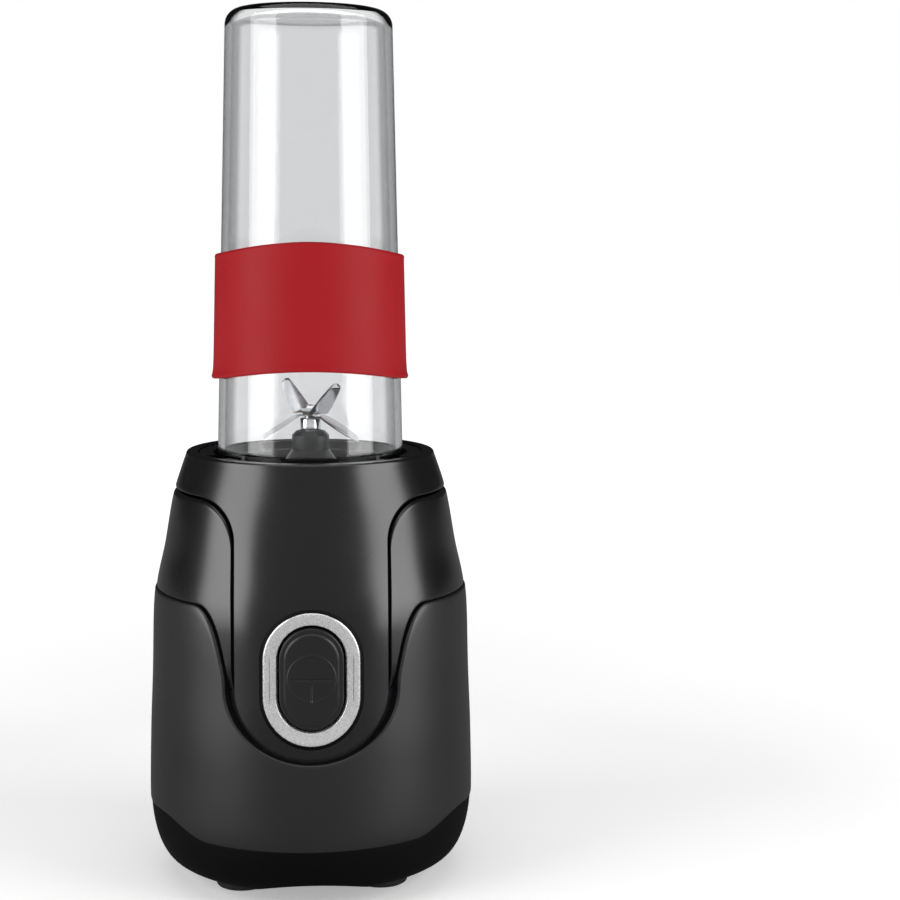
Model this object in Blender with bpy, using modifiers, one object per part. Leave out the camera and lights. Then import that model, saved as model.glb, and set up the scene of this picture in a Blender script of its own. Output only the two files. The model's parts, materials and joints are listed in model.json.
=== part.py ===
"""Personal countertop blender: motor base, blade cup and an upturned clear bottle.

Metres, +Z up, front towards -Y. The origin is the middle of the footprint, on the worktop.
"""
import math

import bmesh
import bpy
import numpy as np
from mathutils import Matrix

# Clearances
GAP = 0.0003
RUN_GAP = 0.0005
PRESS_FIT = 0.0001
MARGIN = 0.0010

# Blade cup, which sets the bottle, the seat and the collar
CUP_R = 0.0388
CUP_WALL = 0.0022
CUP_FLOOR_T = 0.0025
DOME_FOOT_R = 0.0134
DOME_STEP = 0.0015
DOME_STEP_RISE = 0.0105
DOME_R = 0.0076
DOME_SHOULDER_RISE = 0.0165
DOME_CORNER = 0.0018
BUSH_R = 0.0050
BUSH_BORE_CLEAR = 0.00006
SHAFT_SEAL_H = 0.0022
BLADE_SHAFT_R = 0.0025
GASKET_T = 0.0014
GASKET_INSET = 0.0008

# Motor base, outside
BASE_H = 0.1744
BASE_R = 0.0666
COLLAR_R = CUP_R + 0.0112
WIDEST_Z = 0.0343
SKIRT_BOTTOM_Z = 0.0075
SKIRT_TUCK = 0.0100
SHELL_WALL = 0.0024
SKIN_SHARES = ((0.0, 0.0), (0.173, 0.03), (0.368, 0.098), (0.537, 0.139), (0.606, 0.187),
               (0.729, 0.416), (0.873, 0.651), (0.983, 0.946), (1.0, 1.0))
TUCK_ANGLES = (30, 50, 65, 78, 90)
SEAM_FRONT_Z = 0.0265
SEAM_SIDE_RISE = 0.0060
SEAM_SHARES = (1.05, 0.97, 0.92, 0.86, 0.80, 0.74, 0.68, 0.62)
SEAM_CLIMB_START = 0.62
SEAM_CLIMB_SPAN = 0.28
SEAM_DROP = 0.40
SEAM_DROP_START = 0.92
SEAM_DROP_SPAN = 0.13
ARCH_HALF_WIDTH = 0.0225
ARCH_HEIGHT = 0.0040
CUT_REACH = 1.3 * BASE_R

# Push button
BUTTON_Z = 0.0940
BEZEL_HALF_X = 0.0187
BEZEL_HALF_Z = 0.0258
BEZEL_WIDTH = 0.0050
BEZEL_PROUD = 0.0004
BEZEL_DEPTH = 0.0030
BUTTON_CLEAR = 0.0011
BUTTON_SUNK = 0.0006
BUTTON_DEPTH = 0.00754
BUTTON_TRAVEL = 0.0025
STEM_R = 0.0030
STEM_LENGTH = 0.0092
BUTTON_SPRING_R = 0.0048
BUTTON_SPRING_WIRE_R = 0.0003
BUTTON_SPRING_TURNS = 2
FRAME_CLEAR = 0.00096
FRAME_DEPTH = 0.0052
FRAME_WALL = 0.0018
SWITCH_HALF_X = 0.0099
SWITCH_HALF_Z = 0.0052
SWITCH_DEPTH = 0.0100
SWITCH_BEVEL = 0.0006

# Front panel, flanks and the edge of the lower shell
BIB_HALF_WIDTH = BEZEL_HALF_X + 0.0111
BIB_BEND_Z = BUTTON_Z - 0.0060
BIB_BOTTOM_Z = BUTTON_Z - 0.0310
COLLAR_EDGE_Z = BASE_H - 0.0144
COLLAR_EDGE_X = COLLAR_R - 0.0060
COLLAR_CURVE_Z = COLLAR_EDGE_Z - 0.0160
COLLAR_CURVE_PULL = 0.0085
LOWER_EDGE_Z = BASE_H - 0.0551
LOWER_EDGE_X = COLLAR_R - 0.0045
LOWER_EDGE_PULL = 0.0055
LOWER_THROAT_X = BIB_HALF_WIDTH + 0.0054
LOWER_THROAT_Z = LOWER_EDGE_Z - 0.0183
LOWER_THROAT_PULL_X = 0.0019
LOWER_THROAT_PULL_Z = 0.0090
GROOVE_WIDTH = 0.0020
LOWER_BEND_X = BIB_HALF_WIDTH + 0.0036
U_EXPONENT = 2.0
FLANK_RECESS = 0.0022
FLANK_FLUSH_X = COLLAR_R + 0.0020

# Cup seat in the collar
SEAT_BORE_R = CUP_R + 0.0007
SEAT_OUTER_R = CUP_R + 0.0064
SEAT_TOP_DROP = 0.0008
SEAT_FLOOR_Z = BASE_H - 0.0269
SEAT_FLOOR_T = 0.0025
SEAT_HOLE_R = 0.0140
LUG_COUNT = 3
LUG_ANGLE = math.radians(60.0)
LUG_LENGTH = 0.0120
LUG_REACH = 0.0034
LUG_ROOT = 0.0012
LUG_Z = SEAT_FLOOR_Z + 0.0065
LUG_H = 0.0040
LUG_CLEAR = 0.0010
SLOT_ROOT = 0.0030
UNLOCK_ANGLE = math.radians(25.0)
CUP_TOP_Z = BASE_H - 0.0039
CUP_FLOOR_Z = SEAT_FLOOR_Z + 0.0085
DOME_TOP_Z = CUP_TOP_Z + 0.0121

# Inner housing and bottom
LINER_WALL = 0.0020
LINER_GAP = 0.0052
LINER_FOOT_RISE = 0.0030
LINER_TOP_Z = SEAT_FLOOR_Z - 0.0075
PLATE_T = 0.0025
FOOT_R = 0.0110
FOOT_X = BASE_R - 0.0386
FOOT_Y = BASE_R - 0.0426
FOOT_H = 0.0117
FOOT_TOP_SHARE = 0.92
FOOT_EDGE = 0.0012
FOOT_STEM_R = 0.0030
FOOT_STEM_PROUD = 0.0015
SCREW_R = 0.0016
SCREW_LENGTH = 0.0110
SCREW_HEAD_R = 0.0030
SCREW_HEAD_H = 0.0018
SCREW_HEAD_TAPER = 0.8
SCREW_CIRCLE_R = BASE_R - 0.0196
SCREW_COUNT = 4
VENT_COUNT = 12
VENT_START = 0.0160
VENT_END = 0.0320
VENT_HALF_WIDTH = 0.0014
INLET_Z = 0.0460
INLET_R = 0.0065
INLET_BORE_R = 0.0034
INLET_SUNK = 0.0008
INLET_LENGTH = 0.0110

# Bottle and grip sleeve
BOTTLE_TOP_Z = CUP_TOP_Z + 0.1795
BOTTLE_TOP_R = CUP_R - 0.0057
BOTTLE_LOW_R = CUP_R - 0.0011
BOTTLE_WALL = 0.0028
BOTTLE_FLOOR = 0.0032
BOTTLE_CORNER = 0.0060
BOTTLE_SHOULDER_RISE = 0.0030
CORNER_ANGLES = (90, 68, 45, 22, 0)
VAULT_ANGLES = (0, 30, 60, 90)
NECK_R = CUP_R - 0.0027
SLEEVE_LOW_Z = CUP_TOP_Z + 0.0359
SLEEVE_H = 0.0498
SLEEVE_WAVE = 0.0026
SLEEVE_T = 0.0021
SLEEVE_LIP = 0.0007
SLEEVE_LIP_RISE = 0.0030

# Blades
BLADE_HUB_Z = DOME_TOP_Z + 0.0055
BLADE_T = 0.0010
BLADE_HUB_HALF = 0.0046
BLADE_TIP_HALF = 0.0014
BLADE_TAPER = 1.8
BLADE_ROOT = 0.0050
LOW_BLADE_REACH = 0.0203
LOW_BLADE_RISE = -0.0095
LOW_BLADE_TURN = math.radians(-12.0)
HIGH_BLADE_REACH = 0.0185
HIGH_BLADE_RISE = 0.0125
HIGH_BLADE_TURN = math.radians(125.0)
SPACER_R = 0.0042
NUT_PROFILE = ((0.0024, 0.0022), (0.0036, 0.0012), (0.0038, 0.0))
NUT_H = 0.0026
NUT_SIDES = 6

# Drive
DOG_COUNT = 3
DOG_R = 0.0115
DOG_INNER_R = 0.0062
DOG_WIDTH = 0.0034
DOG_H = 0.0030
COUPLER_R = 0.0121
COUPLER_DISC_H = 0.0032
COUPLER_MESH_Z = SEAT_FLOOR_Z + 0.0011
MOTOR_SHAFT_R = 0.0040

# Motor
ROTOR_R = 0.0165
AIR_GAP = 0.0006
STATOR_R = 0.0290
CORE_LOW_Z = 0.0600
CORE_H = 0.0300
WINDING_H = 0.0080
WINDING_INSETS = (0.0030, 0.0010, 0.0040)
WINDING_BULGE = 0.6
FIELD_COIL_H = 0.0085
FIELD_COIL_INSET = 0.0030
FIELD_COIL_BULGE = 0.0015
COMMUTATOR_R = 0.0110
COMMUTATOR_H = 0.0080
BEARING_R = 0.0095
BEARING_H = 0.0060
BEARING_CLEAR = 0.0001
SHAFT_TAIL = 0.0071
BRACKET_T = 0.0025
BRACKET_HALF_WIDTH = 0.0110
POST_R = 0.0040
POST_CLEAR = 0.0015
MOUNT_R = 0.0064
FAN_R = 0.0270
FAN_RISE = 0.0014
FAN_BLADES = 9
FAN_BLADE_H = 0.0060
FAN_BLADE_HALF_T = 0.0006
FAN_BLADE_START = 0.0070
FAN_BLADE_INSET = 0.0008
FAN_BLADE_DROP = 0.0004
FAN_HUB_R = 0.0085
FAN_DISC_T = 0.0012
BRUSH_CLEAR = 0.0002
BRUSH_LENGTH = 0.0120
BRUSH_HALF_Y = 0.0025
BRUSH_HALF_Z = 0.0022
HOLDER_START = 0.0030
HOLDER_END = 0.0155
HOLDER_HALF_Y = 0.0042
HOLDER_HALF_Z = 0.0038
BRUSH_WAY_SPARE = 0.0005
BOARD_OFFSET = 0.0065
BOARD_T = 0.0016
BOARD_HALF_X = 0.0200
BOARD_BELOW = 0.0040
BOARD_ABOVE = 0.0060

# Interlock
PIN_R = 0.0010
PIN_CIRCLE_R = CUP_R + 0.0027
PIN_UNDER_LUG = 0.0026
PIN_LOW_Z = SEAT_FLOOR_Z - 0.0055
PIN_CHAMFER = 0.0003
PIN_FLANGE_R = 0.0022
PIN_FLANGE_H = 0.0010
PIN_LUG_CLEAR = 0.0006
PIN_SPRING_R = 0.0016
PIN_SPRING_WIRE_R = 0.00025
PIN_SPRING_TURNS = 4
PIN_SPRING_LEN = 0.0077
PIN_SWITCH_IN = 0.0045
PIN_SWITCH_OUT = 0.0035
PIN_SWITCH_HALF = 0.0080
PIN_SWITCH_H = 0.0100
PIN_SWITCH_BEVEL = 0.0005

# Roundness
OUTER_SEGMENTS = 48
ARCH_SEGMENTS = 64
MID_SEGMENTS = 24
SMALL_SEGMENTS = 16
FINE_SEGMENTS = 12
HOLE_SEGMENTS = 10


def clear_scene():
    for obj in list(bpy.data.objects):
        bpy.data.objects.remove(obj, do_unlink=True)


def new_collection(name):
    collection = bpy.data.collections.new(name)
    bpy.context.scene.collection.children.link(collection)
    return collection


clear_scene()
PARTS = new_collection("countertop_blender")
CUTTERS = new_collection("cutters")


# ---------------------------------------------------------------- materials

def look(name, colour, roughness, metallic=0.0, alpha=1.0):
    material = bpy.data.materials.new(name)
    material.use_nodes = True
    shader = material.node_tree.nodes["Principled BSDF"]
    shader.inputs["Base Color"].default_value = (*colour, 1.0)
    shader.inputs["Roughness"].default_value = roughness
    shader.inputs["Metallic"].default_value = metallic
    shader.inputs["Alpha"].default_value = alpha
    material.diffuse_color = (*colour, alpha)
    return material


def black_plastic(name, roughness=0.35):
    return look(name, (0.018, 0.018, 0.020), roughness)


def steel(name):
    return look(name, (0.72, 0.72, 0.74), 0.25, 1.0)


def copper(name):
    return look(name, (0.72, 0.34, 0.16), 0.35, 1.0)


def rubber(name):
    return look(name, (0.02, 0.02, 0.02), 0.85)


# ---------------------------------------------------------------- tools

def add_part(name, mesh, material):
    part = bpy.data.objects.new(name, mesh)
    PARTS.objects.link(part)
    part.data.materials.clear()
    part.data.materials.append(material)
    return part


def add_cutter(name, mesh):
    cutter = bpy.data.objects.new(name, mesh)
    CUTTERS.objects.link(cutter)
    cutter.hide_render = True
    cutter.display_type = "WIRE"
    return cutter


def boolean(target, tool, operation):
    modifier = target.modifiers.new(operation.lower() + "_" + tool.name, "BOOLEAN")
    modifier.operation = operation
    modifier.object = tool
    modifier.solver = "EXACT"


def cut(target, tool):
    boolean(target, tool, "DIFFERENCE")


def keep(target, tool):
    boolean(target, tool, "INTERSECT")


def join(target, tool):
    boolean(target, tool, "UNION")


def bevel(target, width, segments=2, angle=40.0):
    modifier = target.modifiers.new("bevel", "BEVEL")
    modifier.width = width
    modifier.segments = segments
    modifier.limit_method = "ANGLE"
    modifier.angle_limit = math.radians(angle)


def turned_mesh(name, profile):
    """Profile points (radius, z), running down the outside; closed unless it ends on the axis."""
    mesh = bpy.data.meshes.new(name)
    count = len(profile)
    on_axis = profile[0][0] == 0.0 and profile[-1][0] == 0.0
    edges = [(i, i + 1) for i in range(count - 1)]
    if not on_axis:
        edges.append((count - 1, 0))
    mesh.from_pydata([(r, 0.0, z) for r, z in profile], edges, [])
    return mesh


def spin(obj, segments):
    modifier = obj.modifiers.new("turn", "SCREW")
    modifier.axis = "Z"
    modifier.angle = math.tau
    modifier.steps = segments
    modifier.render_steps = segments
    modifier.use_merge_vertices = True
    modifier.merge_threshold = 0.00005
    modifier.use_smooth_shade = True
    return obj


def turned(name, profile, material, segments=MID_SEGMENTS):
    return spin(add_part(name, turned_mesh(name, profile), material), segments)


def ring_profile(inner, outer, low, high):
    return [(outer, high), (outer, low), (inner, low), (inner, high)]


def disc_profile(radius, low, high):
    return [(0.0, high), (radius, high), (radius, low), (0.0, low)]


def ring(name, inner, outer, low, high, material, segments=MID_SEGMENTS):
    return turned(name, ring_profile(inner, outer, low, high), material, segments)


def disc(name, radius, low, high, material, segments=SMALL_SEGMENTS):
    return turned(name, disc_profile(radius, low, high), material, segments)


def box_mesh(name, low, high):
    mesh = bpy.data.meshes.new(name)
    frame = bmesh.new()
    centre = [(a + b) / 2 for a, b in zip(low, high)]
    size = [b - a for a, b in zip(low, high)]
    matrix = Matrix.Translation(centre) @ Matrix.Diagonal((*size, 1.0))
    bmesh.ops.create_cube(frame, size=1.0, matrix=matrix)
    frame.to_mesh(mesh)
    frame.free()
    return mesh


def rod_mesh(name, radius, start, end, axis, segments=SMALL_SEGMENTS):
    """A round rod along "X", "Y" or "Z" between two points that share the other two values."""
    mesh = bpy.data.meshes.new(name)
    frame = bmesh.new()
    length = math.dist(start, end)
    middle = [(a + b) / 2 for a, b in zip(start, end)]
    turn = {"X": Matrix.Rotation(math.pi / 2, 4, "Y"),
            "Y": Matrix.Rotation(math.pi / 2, 4, "X"),
            "Z": Matrix.Identity(4)}[axis]
    bmesh.ops.create_cone(frame, cap_ends=True, segments=segments, radius1=radius,
                          radius2=radius, depth=length, matrix=Matrix.Translation(middle) @ turn)
    frame.to_mesh(mesh)
    frame.free()
    return mesh


def copies_mesh(name, mesh, matrices):
    """One mesh holding a copy of another at each matrix."""
    frame = bmesh.new()
    for matrix in matrices:
        piece = mesh.copy()
        piece.transform(matrix)
        frame.from_mesh(piece)
        bpy.data.meshes.remove(piece)
    result = bpy.data.meshes.new(name)
    frame.to_mesh(result)
    frame.free()
    return result


def around(count, start=0.0):
    return [Matrix.Rotation(start + math.tau * i / count, 4, "Z") for i in range(count)]


def curve_to_mesh(curve_object, name):
    """The filled curve as a welded mesh; the curve itself is removed."""
    graph = bpy.context.evaluated_depsgraph_get()
    mesh = bpy.data.meshes.new_from_object(curve_object.evaluated_get(graph))
    mesh.name = name
    frame = bmesh.new()
    frame.from_mesh(mesh)
    bmesh.ops.remove_doubles(frame, verts=frame.verts, dist=0.00001)
    bmesh.ops.recalc_face_normals(frame, faces=frame.faces)
    frame.to_mesh(mesh)
    frame.free()
    mesh.transform(curve_object.matrix_world)
    bpy.data.objects.remove(curve_object, do_unlink=True)
    return mesh


def prism_mesh(name, outline, near_y, far_y):
    """A flat outline of (x, z) points, pushed through from near_y to far_y."""
    curve = bpy.data.curves.new(name, "CURVE")
    curve.dimensions = "2D"
    curve.fill_mode = "BOTH"
    curve.extrude = (far_y - near_y) / 2
    spline = curve.splines.new("POLY")
    spline.points.add(len(outline) - 1)
    for point, (x, z) in zip(spline.points, outline):
        point.co = (x, z, 0.0, 1.0)
    spline.use_cyclic_u = True
    holder = bpy.data.objects.new(name, curve)
    bpy.context.scene.collection.objects.link(holder)
    holder.rotation_euler = (math.pi / 2, 0.0, 0.0)
    holder.location = (0.0, (near_y + far_y) / 2, 0.0)
    bpy.context.view_layer.update()
    return curve_to_mesh(holder, name)


def coil_mesh(name, radius, wire_r, low, high, turns, centre):
    """A round wire coil standing along Z."""
    steps = turns * 9
    curve = bpy.data.curves.new(name, "CURVE")
    curve.dimensions = "3D"
    curve.bevel_depth = wire_r
    curve.bevel_resolution = 1
    curve.use_fill_caps = True
    spline = curve.splines.new("POLY")
    spline.points.add(steps)
    for i, point in enumerate(spline.points):
        angle = math.tau * turns * i / steps
        height = low + wire_r + (high - low - 2 * wire_r) * i / steps
        point.co = (centre[0] + radius * math.cos(angle),
                    centre[1] + radius * math.sin(angle), height, 1.0)
    holder = bpy.data.objects.new(name, curve)
    bpy.context.scene.collection.objects.link(holder)
    bpy.context.view_layer.update()
    return curve_to_mesh(holder, name)


def smooth(obj, angle=35.0):
    obj.data.shade_smooth()
    obj.data.set_sharp_from_angle(angle=math.radians(angle))
    return obj


def bezier(start, first, second, end, steps):
    """Points after the start of a cubic curve, up to and including its end."""
    points = []
    for i in range(1, steps + 1):
        t = i / steps
        weights = ((1 - t) ** 3, 3 * t * (1 - t) ** 2, 3 * t * t * (1 - t), t ** 3)
        corners = (start, first, second, end)
        points.append(tuple(sum(w * c[k] for w, c in zip(weights, corners)) for k in (0, 1)))
    return points


def stadium(half_x, half_z, centre_z, steps=10):
    """An upright oval with straight sides and round ends, as (x, z) points."""
    straight = half_z - half_x
    points = []
    for side in (1, -1):
        for i in range(steps + 1):
            angle = math.pi * i / steps
            x = side * half_x * math.cos(angle)
            z = centre_z + side * (straight + half_x * math.sin(angle))
            points.append((x, z))
    return points


def mirrored(points):
    """An outline of x >= 0 points, closed by its mirror image."""
    other = [(-x, z) for x, z in reversed(points) if x > 0.0]
    return points + other


def hang(name, location, pieces):
    """An empty on a joint's axis that carries the moving pieces."""
    empty = bpy.data.objects.new(name, None)
    PARTS.objects.link(empty)
    empty.location = location
    bpy.context.view_layer.update()
    for piece in pieces:
        piece.parent = empty
        piece.matrix_parent_inverse = empty.matrix_world.inverted()


# ---------------------------------------------------------------- outer skin

def skin(z):
    """Outside radius of the motor base at a height."""
    if z >= WIDEST_Z:
        share = (z - WIDEST_Z) / (BASE_H - WIDEST_Z)
        drop = float(np.interp(share, *zip(*SKIN_SHARES)))
        return BASE_R - drop * (BASE_R - COLLAR_R)
    down = (WIDEST_Z - z) / (WIDEST_Z - SKIRT_BOTTOM_Z)
    return BASE_R - SKIRT_TUCK * (1.0 - math.sqrt(max(0.0, 1.0 - down * down)))


def skin_heights(low, high):
    """Heights between two limits where the outline bends, top first."""
    knots = [WIDEST_Z + share * (BASE_H - WIDEST_Z) for share, _ in SKIN_SHARES]
    tuck = [WIDEST_Z - (WIDEST_Z - SKIRT_BOTTOM_Z) * math.sin(math.radians(a))
            for a in TUCK_ANGLES]
    inside = [z for z in knots + tuck if low + RUN_GAP < z < high - RUN_GAP]
    return [high] + sorted(inside, reverse=True) + [low]


def shell_profile(low, high, outer_offset, wall):
    """A wall that follows the outer skin between two heights."""
    outside = [(skin(z) - outer_offset, z) for z in skin_heights(low, high)]
    inside = [(r - wall, z) for r, z in reversed(outside)]
    return outside + inside


def u_curve(half_width, bottom_z, steps=9):
    """The round bottom of the front panel, from its side down to its middle."""
    depth = BIB_BEND_Z - bottom_z
    points = []
    for i in range(1, steps + 1):
        angle = math.pi / 2 * i / steps
        x = half_width * math.cos(angle) ** (2 / U_EXPONENT) if i < steps else 0.0
        points.append((x, BIB_BEND_Z - depth * math.sin(angle) ** (2 / U_EXPONENT)))
    return points


def bib_edge(offset):
    """Right edge of the collar and front panel, grown by an offset, from the side inwards."""
    half = BIB_HALF_WIDTH + offset
    low = COLLAR_EDGE_Z - offset
    start = (COLLAR_EDGE_X + offset, low)
    end = (half, COLLAR_CURVE_Z - offset)
    curve = bezier(start, (start[0] - COLLAR_CURVE_PULL, low),
                   (half, end[1] + COLLAR_CURVE_PULL), end, 8)
    return [start] + curve + [(half, BIB_BEND_Z)] + u_curve(half, BIB_BOTTOM_Z - offset)


def lower_edge(offset):
    """Right edge of the lower shell, lowered by an offset, from the side inwards."""
    half = LOWER_BEND_X + offset
    throat = (LOWER_THROAT_X + offset, LOWER_THROAT_Z - offset)
    start = (LOWER_EDGE_X + offset, LOWER_EDGE_Z - offset)
    curve = bezier(start, (start[0] - LOWER_EDGE_PULL, start[1]),
                   (throat[0] + LOWER_THROAT_PULL_X, throat[1] + LOWER_THROAT_PULL_Z), throat, 7)
    bottom = BIB_BOTTOM_Z - GROOVE_WIDTH - offset
    return [start] + curve + [(half, BIB_BEND_Z)] + u_curve(half, bottom)


def seam_line(offset):
    """The skirt's upper edge: level at the front and back, higher at the sides."""
    points = []
    for share in SEAM_SHARES:
        climb = min(1.0, max(0.0, (share - SEAM_CLIMB_START) / SEAM_CLIMB_SPAN))
        drop = SEAM_DROP * max(0.0, share - SEAM_DROP_START) / SEAM_DROP_SPAN
        rise = SEAM_SIDE_RISE * (climb * climb * (3 - 2 * climb) - drop)
        points.append((BASE_R * share, SEAM_FRONT_Z + rise + offset))
    return points + [(0.0, SEAM_FRONT_Z + offset)]


def through_prism(name, outline):
    return add_cutter(name, prism_mesh(name, outline, -CUT_REACH, CUT_REACH))


def through_rod(name, radius, x, y, z, axis, segments=SMALL_SEGMENTS):
    """A round cutter along an axis, through the whole object and centred on a point."""
    step = {"X": (CUT_REACH, 0, 0), "Y": (0, CUT_REACH, 0), "Z": (0, 0, MARGIN + PLATE_T)}[axis]
    start = (x - step[0], y - step[1], z - step[2])
    end = (x + step[0], y + step[1], z + step[2])
    return rod_mesh(name, radius, start, end, axis, segments)


# ---------------------------------------------------------------- motor base

def button_hole(name, half_x, half_z, back_y=0.0):
    """An upright oval cutter round the button, from the front back to a plane."""
    outline = stadium(half_x, half_z, BUTTON_Z)
    return add_cutter(name, prism_mesh(name, outline, -CUT_REACH, back_y))


def make_upper_housing():
    deck_inner = SEAT_OUTER_R + GAP
    outside = [(skin(z), z) for z in skin_heights(BIB_BOTTOM_Z - MARGIN, BASE_H)]
    under = BASE_H - SHELL_WALL
    inside = [(r - SHELL_WALL, z) for r, z in reversed(outside) if z < under - MARGIN]
    lip = [(skin(under) - SHELL_WALL, under), (deck_inner, under), (deck_inner, BASE_H)]
    part = turned("upper_housing", outside + inside + lip, black_plastic("upper_housing", 0.3),
                  OUTER_SEGMENTS)
    sides = [(CUT_REACH, BASE_H + MARGIN), (CUT_REACH, COLLAR_EDGE_Z)]
    keep(part, through_prism("upper_region", mirrored(sides + bib_edge(0.0))))
    cut(part, button_hole("bezel_hole", BEZEL_HALF_X + GAP, BEZEL_HALF_Z + GAP))
    return smooth(part)


def flank_mesh(name):
    """A wall that sinks below the skin towards the front and back panels."""
    profile = shell_profile(BIB_BEND_Z - 2 * MARGIN, COLLAR_EDGE_Z + MARGIN, 0.0, SHELL_WALL)
    holder = spin(add_cutter(name + "_blank", turned_mesh(name, profile)), OUTER_SEGMENTS)
    graph = bpy.context.evaluated_depsgraph_get()
    mesh = bpy.data.meshes.new_from_object(holder.evaluated_get(graph))
    bpy.data.objects.remove(holder, do_unlink=True)
    for vertex in mesh.vertices:
        inward = (FLANK_FLUSH_X - abs(vertex.co.x)) / (FLANK_FLUSH_X - BIB_HALF_WIDTH)
        sink = FLANK_RECESS * min(1.0, max(0.0, inward))
        radius = math.hypot(vertex.co.x, vertex.co.y)
        scale = (radius - sink) / radius
        vertex.co.x *= scale
        vertex.co.y *= scale
    return mesh


def make_flank(name, side):
    part = add_part(name, flank_mesh(name), black_plastic(name, 0.4))
    upper = [(x, z) for x, z in bib_edge(GAP) if z >= BIB_BEND_Z]
    lower = [(x, z) for x, z in lower_edge(-GAP) if z >= BIB_BEND_Z]
    outline = ([(CUT_REACH, COLLAR_EDGE_Z - GAP)] + upper + lower[::-1]
               + [(CUT_REACH, LOWER_EDGE_Z + GAP)])
    keep(part, through_prism(name + "_region", [(side * x, z) for x, z in outline]))
    return smooth(part)


def make_lower_shell():
    profile = shell_profile(SEAM_FRONT_Z - MARGIN, LOWER_EDGE_Z + MARGIN, 0.0, SHELL_WALL)
    part = turned("lower_shell", profile, black_plastic("lower_shell", 0.35), OUTER_SEGMENTS)
    seam = [(-x, z) for x, z in seam_line(GAP)[:-1]]
    right = [(CUT_REACH, seam[0][1]), (CUT_REACH, LOWER_EDGE_Z)] + lower_edge(0.0)
    left = [(-x, z) for x, z in reversed(right) if x > 0.0]
    bottom = seam + [(-x, z) for x, z in reversed(seam)]
    keep(part, through_prism("lower_region", right + left + bottom))
    cut(part, inlet_hole())
    return smooth(part)


def make_base_skirt():
    high = SEAM_FRONT_Z + SEAM_SIDE_RISE + MARGIN
    profile = shell_profile(SKIRT_BOTTOM_Z, high, 0.0, SHELL_WALL)
    part = turned("base_skirt", profile, black_plastic("base_skirt", 0.6), OUTER_SEGMENTS)
    seam = seam_line(0.0)
    sides = [(0.0, -MARGIN), (CUT_REACH, -MARGIN), (CUT_REACH, seam[0][1])]
    keep(part, through_prism("skirt_region", mirrored(sides + seam)))
    radius = (ARCH_HALF_WIDTH ** 2 + ARCH_HEIGHT ** 2) / (2 * ARCH_HEIGHT)
    centre_z = SKIRT_BOTTOM_Z + ARCH_HEIGHT - radius
    along_y = through_rod("arch_y", radius, 0, 0, centre_z, "Y", ARCH_SEGMENTS)
    along_x = through_rod("arch_x", radius, 0, 0, centre_z, "X", ARCH_SEGMENTS)
    cut(part, add_cutter("front_arch", along_y))
    cut(part, add_cutter("side_arch", along_x))
    return smooth(part)


def make_inner_housing():
    low = SEAM_FRONT_Z + SEAM_SIDE_RISE + LINER_FOOT_RISE
    profile = shell_profile(low, LINER_TOP_Z, LINER_GAP, LINER_WALL)
    part = turned("inner_housing", profile, look("inner_housing", (0.05, 0.05, 0.055), 0.6),
                  OUTER_SEGMENTS)
    half_x, half_z = frame_half_sizes()
    cut(part, button_hole("switch_hole", half_x + 2 * GAP, half_z + 2 * GAP))
    cut(part, inlet_hole())
    return smooth(part)


def inlet_hole():
    return add_cutter("inlet_hole", back_rod("inlet_hole", INLET_R + GAP))


def back_rod(name, radius):
    """A rod out through the back wall at the inlet's height."""
    return rod_mesh(name, radius, (0, 0, INLET_Z), (0, CUT_REACH, INLET_Z), "Y")


def make_cable_inlet():
    """A grommet in the back wall, with its mouth flush with the wall."""
    outer_y = skin(INLET_Z) - INLET_SUNK
    mesh = rod_mesh("cable_inlet", INLET_R, (0, outer_y - INLET_LENGTH, INLET_Z),
                    (0, outer_y, INLET_Z), "Y")
    part = add_part("cable_inlet", mesh, rubber("cable_inlet"))
    cut(part, add_cutter("inlet_bore", back_rod("inlet_bore", INLET_BORE_R)))
    return smooth(part)


def plate_low_z():
    return FOOT_H + GAP


def foot_places():
    return [("front_left", -FOOT_X, -FOOT_Y), ("front_right", FOOT_X, -FOOT_Y),
            ("back_left", -FOOT_X, FOOT_Y), ("back_right", FOOT_X, FOOT_Y)]


def screw_places():
    return [(SCREW_CIRCLE_R * math.cos(a), SCREW_CIRCLE_R * math.sin(a))
            for a in [math.tau * i / SCREW_COUNT for i in range(SCREW_COUNT)]]


def make_bottom_plate():
    low = plate_low_z()
    radius = skin(low) - SHELL_WALL - GAP
    part = disc("bottom_plate", radius, low, low + PLATE_T, black_plastic("bottom_plate", 0.6),
                OUTER_SEGMENTS)
    slot = box_mesh("slot", (VENT_START, -VENT_HALF_WIDTH, low - MARGIN),
                    (VENT_END, VENT_HALF_WIDTH, low + PLATE_T + MARGIN))
    slots = copies_mesh("vent_slots", slot, around(VENT_COUNT, math.tau / VENT_COUNT / 2))
    cut(part, add_cutter("vent_slots", slots))
    feet = [(x, y) for _, x, y in foot_places()]
    drill(part, "foot_holes", FOOT_STEM_R + GAP, feet)
    drill(part, "screw_holes", SCREW_R + GAP, screw_places())
    return smooth(part)


def drill(part, name, radius, places):
    """Round holes through the bottom plate."""
    rod = through_rod(name, radius, 0, 0, plate_low_z(), "Z", FINE_SEGMENTS)
    holes = copies_mesh(name, rod, [Matrix.Translation((x, y, 0)) for x, y in places])
    cut(part, add_cutter(name, holes))


def make_feet():
    top = plate_low_z() + PLATE_T + FOOT_STEM_PROUD
    profile = [(0.0, top), (FOOT_STEM_R, top), (FOOT_STEM_R, FOOT_H),
               (FOOT_R * FOOT_TOP_SHARE, FOOT_H), (FOOT_R, FOOT_H - MARGIN),
               (FOOT_R, FOOT_EDGE), (FOOT_R - FOOT_EDGE, 0.0), (0.0, 0.0)]
    for place, x, y in foot_places():
        foot = turned("foot_" + place, profile, rubber("foot_" + place))
        foot.location = (x, y, 0.0)
        smooth(foot)


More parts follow.
